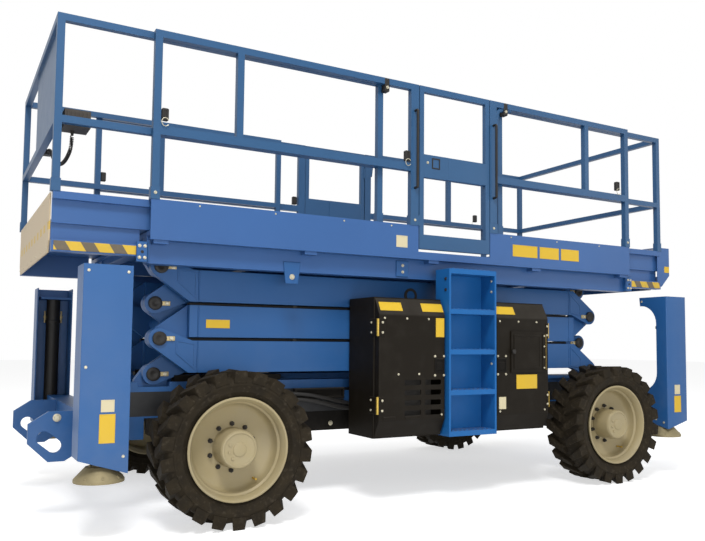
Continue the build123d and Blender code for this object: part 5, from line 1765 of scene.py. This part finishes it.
def straight_line(name, x, y, z, body):
    """A straight hydraulic line along the machine."""
    route = [(x[0], y, z), ((x[0] + x[1]) / 2, y, z), (x[1], y, z)]
    return bent_bar(name, route, LINE_RADIUS, "jacket", body)


def hydraulic_lines():
    """Lines and clips between the arms, and a channel, pipes, a ledge and bolts on the chassis."""
    for body, z in ARM_LINES.items():
        for name, side in SIDES.items():
            for number, y in enumerate(LINE_Y):
                straight_line(f"arm_line_{body}_{name}_{number}", LINE_X, side * y, z, body)
            clip_y = between(side, LINE_Y[0] - CLIP_HALF, LINE_Y[-1] + CLIP_HALF)
            clip_z = (z + CLIP_Z[0], z + CLIP_Z[1])
            clips = [slab((x - CLIP_HALF, x + CLIP_HALF), clip_y, clip_z, 0.001) for x in CLIP_X]
            fasten(joined(clips), f"line_clips_{body}_{name}", "plastic", body)
    for name, side in SIDES.items():
        tray = slab(CHANNEL[0], between(side, *CHANNEL[1]), CHANNEL[2], 0.002)
        tray = dished(tray, name, 0.010, 0.022)
        fasten(tray, f"chassis_channel_{name}", "belly", "chassis")
        for number, drop in enumerate(PIPE_DROPS):
            route = [(x, side * y, z - drop) for x, y, z in PIPE_ROUTE]
            pipe = f"chassis_pipe_{name}_{number}"
            bent_bar(pipe, route, PIPE_RADIUS, "jacket", "chassis")
        ledge = slab(LEDGE[0], between(side, *LEDGE[1]), LEDGE[2], 0.003)
        fasten(ledge, f"chassis_ledge_{name}", "belly", "chassis")
        places = [(TIE_DOWN_BOLT[0], side * TIE_DOWN_BOLT[1], TIE_DOWN_BOLT[2])]
        bolts(f"tie_down_bolts_{name}", name, places, "chassis", 1.7)
        places = [(x, side * y, z) for x, y, z in BELLY_BOLTS]
        bolts(f"belly_bolts_{name}", name, places, "chassis", 1.2)


hydraulic_lines()


# Outriggers: folded rear covers, bare plates, bolts, jack collars and ribbed feet
COVER_FACE_Y = 1.100
COVER_PLATES = {
    "front": {"yellow": ((2.052, 2.128), (0.488, 0.630)), "cream": ((2.058, 2.122), (0.640, 0.700))},
    "rear": {"yellow": ((-2.148, -2.072), (0.478, 0.604)), "cream": ((-2.140, -2.078), (0.616, 0.688))},
}
FRONT_COVER_BOLTS = [(2.008, 1.335), (2.198, 1.335), (2.198, 0.860), (2.010, 0.420)]
REAR_COVER_BOLTS = [(0.862, 1.336), (0.945, 0.548), (0.985, 0.420), (1.058, 0.400)]
REAR_COVER_X = (-2.225, -2.000)
REAR_COVER_Z = (0.352, 1.368)
COVER_INNER_Y = 0.914
COVER_SHEET = 0.008
COVER_LOW_RISE = 0.060
EAR_Y = 0.840
HEEL_SHIFT = (0, 0.090, 0.040)
ARCH_LOW = (-2.200, 0.380, 0.640)
ARCH_HIGH = (-1.700, 1.000, 1.300)
ARCH_ROUND = 0.140
JACK_PLATE_Z = (1.290, 1.306)
JACK_X = {"front": 2.104, "rear": -2.070}
JACK_Y = 1.004
COLLAR_RINGS = [
    (0.0462, -0.011),
    (0.0520, -0.011),
    (0.0535, -0.008),
    (0.0535, 0.008),
    (0.0520, 0.011),
    (0.0462, 0.011),
]
COLLAR_Z = 1.130
FITTING_RINGS = [
    (0.0070, -0.008),
    (0.0070, 0.024),
    (0.0100, 0.025),
    (0.0100, 0.042),
    (0.0060, 0.043),
    (0.0060, 0.076),
    (0.0045, 0.078),
]
FITTING_REACH = (-0.055, 0.055)
RIB_COUNT = 8
RIB_REACH = (0.040, 0.117)
RIB_HALF = 0.006
RIB_Z = (0.296, 0.380)
RIB_FALL = 0.064
FOLD_ROUND = 0.012


def foot_ribs(x, y):
    """Cast ribs that run down an outrigger foot's cone."""
    near, far = RIB_REACH
    rib = block((x + near, y - RIB_HALF, RIB_Z[0]), (x + far, y + RIB_HALF, RIB_Z[1]))
    open_edit(rib)
    choose(rib, lambda vert: vert.co.x > x + far - 0.01 and vert.co.z > RIB_Z[1] - 0.01, "VERT")
    bpy.ops.transform.translate(value=(0, 0, -RIB_FALL))
    choose(rib, sharp, "EDGE")
    bpy.ops.mesh.bevel(offset=0.002, segments=1, affect="EDGES")
    close_edit()
    return tidy(round_copies(tidy(rib), RIB_COUNT, "Z", (x, y, 0)))


def on_cover_fold(edge):
    """Whether an edge is an upright fold at a cover's outer face."""
    first, second = edge.verts
    upright = abs(first.co.z - second.co.z) > 0.5
    return upright and min(first.co.y, second.co.y) > COVER_FACE_Y - 0.001


def folded_cover():
    """A rear cover bent from one sheet, whose wheel-side wall has an ear, an arch and a heel."""
    far_x, near_x = REAR_COVER_X
    low, high = REAR_COVER_Z
    sheet = block((far_x, COVER_INNER_Y, low), (near_x, COVER_FACE_Y, high))
    open_edit(sheet)
    choose(sheet, lambda face: face.normal.y < -0.9 or abs(face.normal.z) > 0.9)
    bpy.ops.mesh.delete(type="FACE")
    choose(sheet, lambda vert: vert.co.x > near_x - 0.01 and vert.co.y < COVER_INNER_Y + 0.01, "VERT")
    bpy.ops.transform.translate(value=(0, EAR_Y - COVER_INNER_Y, 0))
    choose(sheet, lambda vert: vert.co.y < EAR_Y + 0.01 and vert.co.z < low + 0.01, "VERT")
    bpy.ops.transform.translate(value=HEEL_SHIFT)
    choose(sheet, lambda vert: vert.co.x < far_x + 0.01 and vert.co.z < low + 0.01, "VERT")
    bpy.ops.transform.translate(value=(0, 0, COVER_LOW_RISE))
    choose(sheet, on_cover_fold, "EDGE")
    bpy.ops.mesh.bevel(offset=FOLD_ROUND, segments=3, affect="EDGES")
    close_edit()
    sheet = cut_away(thickened(sheet, COVER_SHEET), block(ARCH_LOW, ARCH_HIGH, ARCH_ROUND, 8))
    inset = COVER_SHEET / 2
    plate_x = (far_x + inset, near_x - inset)
    plate = slab(plate_x, (COVER_INNER_Y, COVER_FACE_Y - inset), JACK_PLATE_Z)
    return tidy(joined([sheet, plate]), 30)


def outrigger_fittings():
    """Covers, plates, bolts, jack fittings and feet of the four outriggers."""
    for name, side in SIDES.items():
        cover = to_side(folded_cover(), side)
        fasten(cover, f"cover_sheet_rear_{name}", "blue", "chassis")
        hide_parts(f"outrigger_cover_rear_{name}")
        places = [(REAR_COVER_X[1], side * y, z) for y, z in REAR_COVER_BOLTS]
        bolts(f"cover_bolts_rear_{name}", "front", places, "chassis", 0.7)
        places = [(x, side * COVER_FACE_Y, z) for x, z in FRONT_COVER_BOLTS]
        bolts(f"cover_bolts_front_{name}", name, places, "chassis", 0.6)
        for end, plates in COVER_PLATES.items():
            for finish, (x, z) in plates.items():
                plate = bare_plate(x, z, COVER_FACE_Y, name)
                fasten(plate, f"cover_plate_{finish}_{end}_{name}", finish, "chassis")
            hub = (JACK_X[end], side * JACK_Y, COLLAR_Z)
            collar = tidy(turned(COLLAR_RINGS, 32, "Z", hub, loop=True), 40)
            fasten(collar, f"jack_collar_{end}_{name}", "plastic", "chassis")
            fittings = []
            for reach in FITTING_REACH:
                foot = (JACK_X[end] + reach, side * JACK_Y, COLLAR_Z)
                fittings.append(tidy(turned(FITTING_RINGS, 12, "Z", foot), 40))
            fasten(joined(fittings), f"jack_fittings_{end}_{name}", "zinc", "chassis")
            ribs = foot_ribs(JACK_X[end], side * JACK_Y)
            fasten(ribs, f"foot_ribs_{end}_{name}", "foot", f"leg_{end}_{name}")


outrigger_fittings()


# Platform plates: bare signs on the skirt, a gusset under the beam, rivets in the end sheets
SKIRT_PLATES = [
    ((-0.862, -0.634), (1.606, 1.690)),
    ((-1.068, -0.884), (1.606, 1.690)),
    ((-1.268, -1.090), (1.606, 1.690)),
]
END_SHEET_X = {"front": 2.354, "rear": -2.232}
RIVET_Y = (-0.75, -0.50, -0.25, 0.0, 0.25, 0.50, 0.75)
RIVET_Z = (1.468, 1.735)
REAR_PAN_X = (-2.335, -2.194)
REAR_PAN_HALF = 0.862
REAR_PAN_Z = (1.468, 1.785)
REAR_PAN_CUT = 0.092
PATCH_X = (-2.333, -2.275)
PATCH_Z = (1.584, 1.634)
SKIRT_CREAM = ((0.240, 0.324), (1.604, 1.680))
GUSSET = ((0.190, 0.284), (0.843, 0.854), (1.420, 1.526))
GUSSET_BOLTS = [(0.237, 0.854, 1.452), (0.237, 0.854, 1.494)]
TOE_BOLT_X = (1.60, 1.15, 0.70, 0.36, -0.62, -1.05, -1.48)
TOE_BOLT_Z = 1.738


def rear_end_pan():
    """A sheet surround behind the rear deck's end, slanted off below."""
    far_x, near_x = REAR_PAN_X
    low, high = REAR_PAN_Z
    pan = block((far_x, -REAR_PAN_HALF, low), (near_x, REAR_PAN_HALF, high))
    open_edit(pan)
    choose(pan, lambda edge: middle(edge).x < far_x + 0.001 and middle(edge).z < low + 0.001, "EDGE")
    bpy.ops.mesh.bevel(offset=REAR_PAN_CUT, segments=1, affect="EDGES")
    choose(pan, lambda face: abs(face.normal.x) > 0.9)
    bpy.ops.mesh.delete(type="FACE")
    close_edit()
    fasten(thickened(pan, COVER_SHEET), "rear_end_pan", "deck", "rear_extension")
    patches = []
    for side in SIDES.values():
        patch_y = between(side, REAR_PAN_HALF - 0.0005, REAR_PAN_HALF + 0.0018)
        patches.append(slab(PATCH_X, patch_y, PATCH_Z, 0.0008))
    fasten(joined(patches), "yellow_patches_rear", "yellow", "rear_extension")


def platform_plates():
    """Bare plates, gussets, bolts and rivets round the platform."""
    for name, side in SIDES.items():
        plates = [bare_plate(x, z, SKIRT_FACE_Y, name) for x, z in SKIRT_PLATES]
        fasten(joined(plates), f"skirt_plates_{name}", "yellow", "platform")
        cream = bare_plate(*SKIRT_CREAM, SKIRT_FACE_Y, name)
        fasten(cream, f"skirt_cream_plate_{name}", "cream", "platform")
        gusset = slab(GUSSET[0], between(side, *GUSSET[1]), GUSSET[2], 0.003)
        fasten(gusset, f"beam_gusset_{name}", "blue", "platform")
        places = [(x, side * y, z) for x, y, z in GUSSET_BOLTS]
        bolts(f"beam_gusset_bolts_{name}", name, places, "platform", 0.8)
        places = [(x, side * SKIRT_FACE_Y, TOE_BOLT_Z) for x in TOE_BOLT_X]
        bolts(f"toe_bolts_{name}", name, places, "platform", 0.42)
    for end, x in END_SHEET_X.items():
        places = [(x, y, z) for y in RIVET_Y for z in RIVET_Z]
        bolts(f"end_rivets_{end}", end, places, f"{end}_extension", 0.42)


platform_plates()
rear_end_pan()


# Gates: middle panels and latch recesses
GATE_PANEL = ((-0.4005, -0.080), (0.8760, 0.9154), (2.080, 2.233))
GATE_LATCH = ((-0.012, 0.052), (0.9140, 0.9185), (2.143, 2.215))
GATE_BOLT = (0.085, 0.915, 2.180)


def gate_fittings():
    """A middle panel, a latch recess and its bolt on each gate."""
    for name, side in SIDES.items():
        body = f"gate_{name}"
        panel = slab(GATE_PANEL[0], between(side, *GATE_PANEL[1]), GATE_PANEL[2], 0.002)
        fasten(panel, f"gate_panel_{name}", "rail", body)
        latch = slab(GATE_LATCH[0], between(side, *GATE_LATCH[1]), GATE_LATCH[2], 0.0015)
        latch = dished(latch, name, 0.006, 0.004)
        fasten(latch, f"gate_latch_{name}", "plastic", body)
        places = [(GATE_BOLT[0], side * GATE_BOLT[1], GATE_BOLT[2])]
        bolts(f"gate_latch_bolt_{name}", name, places, body, 0.7)


gate_fittings()


# Deck tread sheets and the control box's ribs
DECK_SHEETS = {
    "platform": ((-0.540, 0.395), (-0.860, 0.860), (1.5840, 1.5872)),
    "front_extension": ((0.440, 2.330), (-0.805, 0.805), (1.6120, 1.6152)),
    "rear_extension": ((-2.208, -0.585), (-0.805, 0.805), (1.6120, 1.6152)),
}


BOX_RIB_X = [2.186 + number * 0.0196 for number in range(6)]
BOX_RIB_HALF = 0.0045
BOX_RIB_Y = (0.8270, 0.8325)
BOX_RIB_Z = (2.120, 2.190)


def deck_and_controls():
    """Tread sheets on the decks and ribs on the control box."""
    for body, (x, y, z) in DECK_SHEETS.items():
        fasten(slab(x, y, z, 0.001), f"deck_tread_{body}", "tread", body)
    ribs = []
    for x in BOX_RIB_X:
        ribs.append(slab((x - BOX_RIB_HALF, x + BOX_RIB_HALF), BOX_RIB_Y, BOX_RIB_Z, 0.0012))
    fasten(joined(ribs), "control_box_ribs", "box", "front_extension")


deck_and_controls()
bpy.data.objects.remove(BOLT)
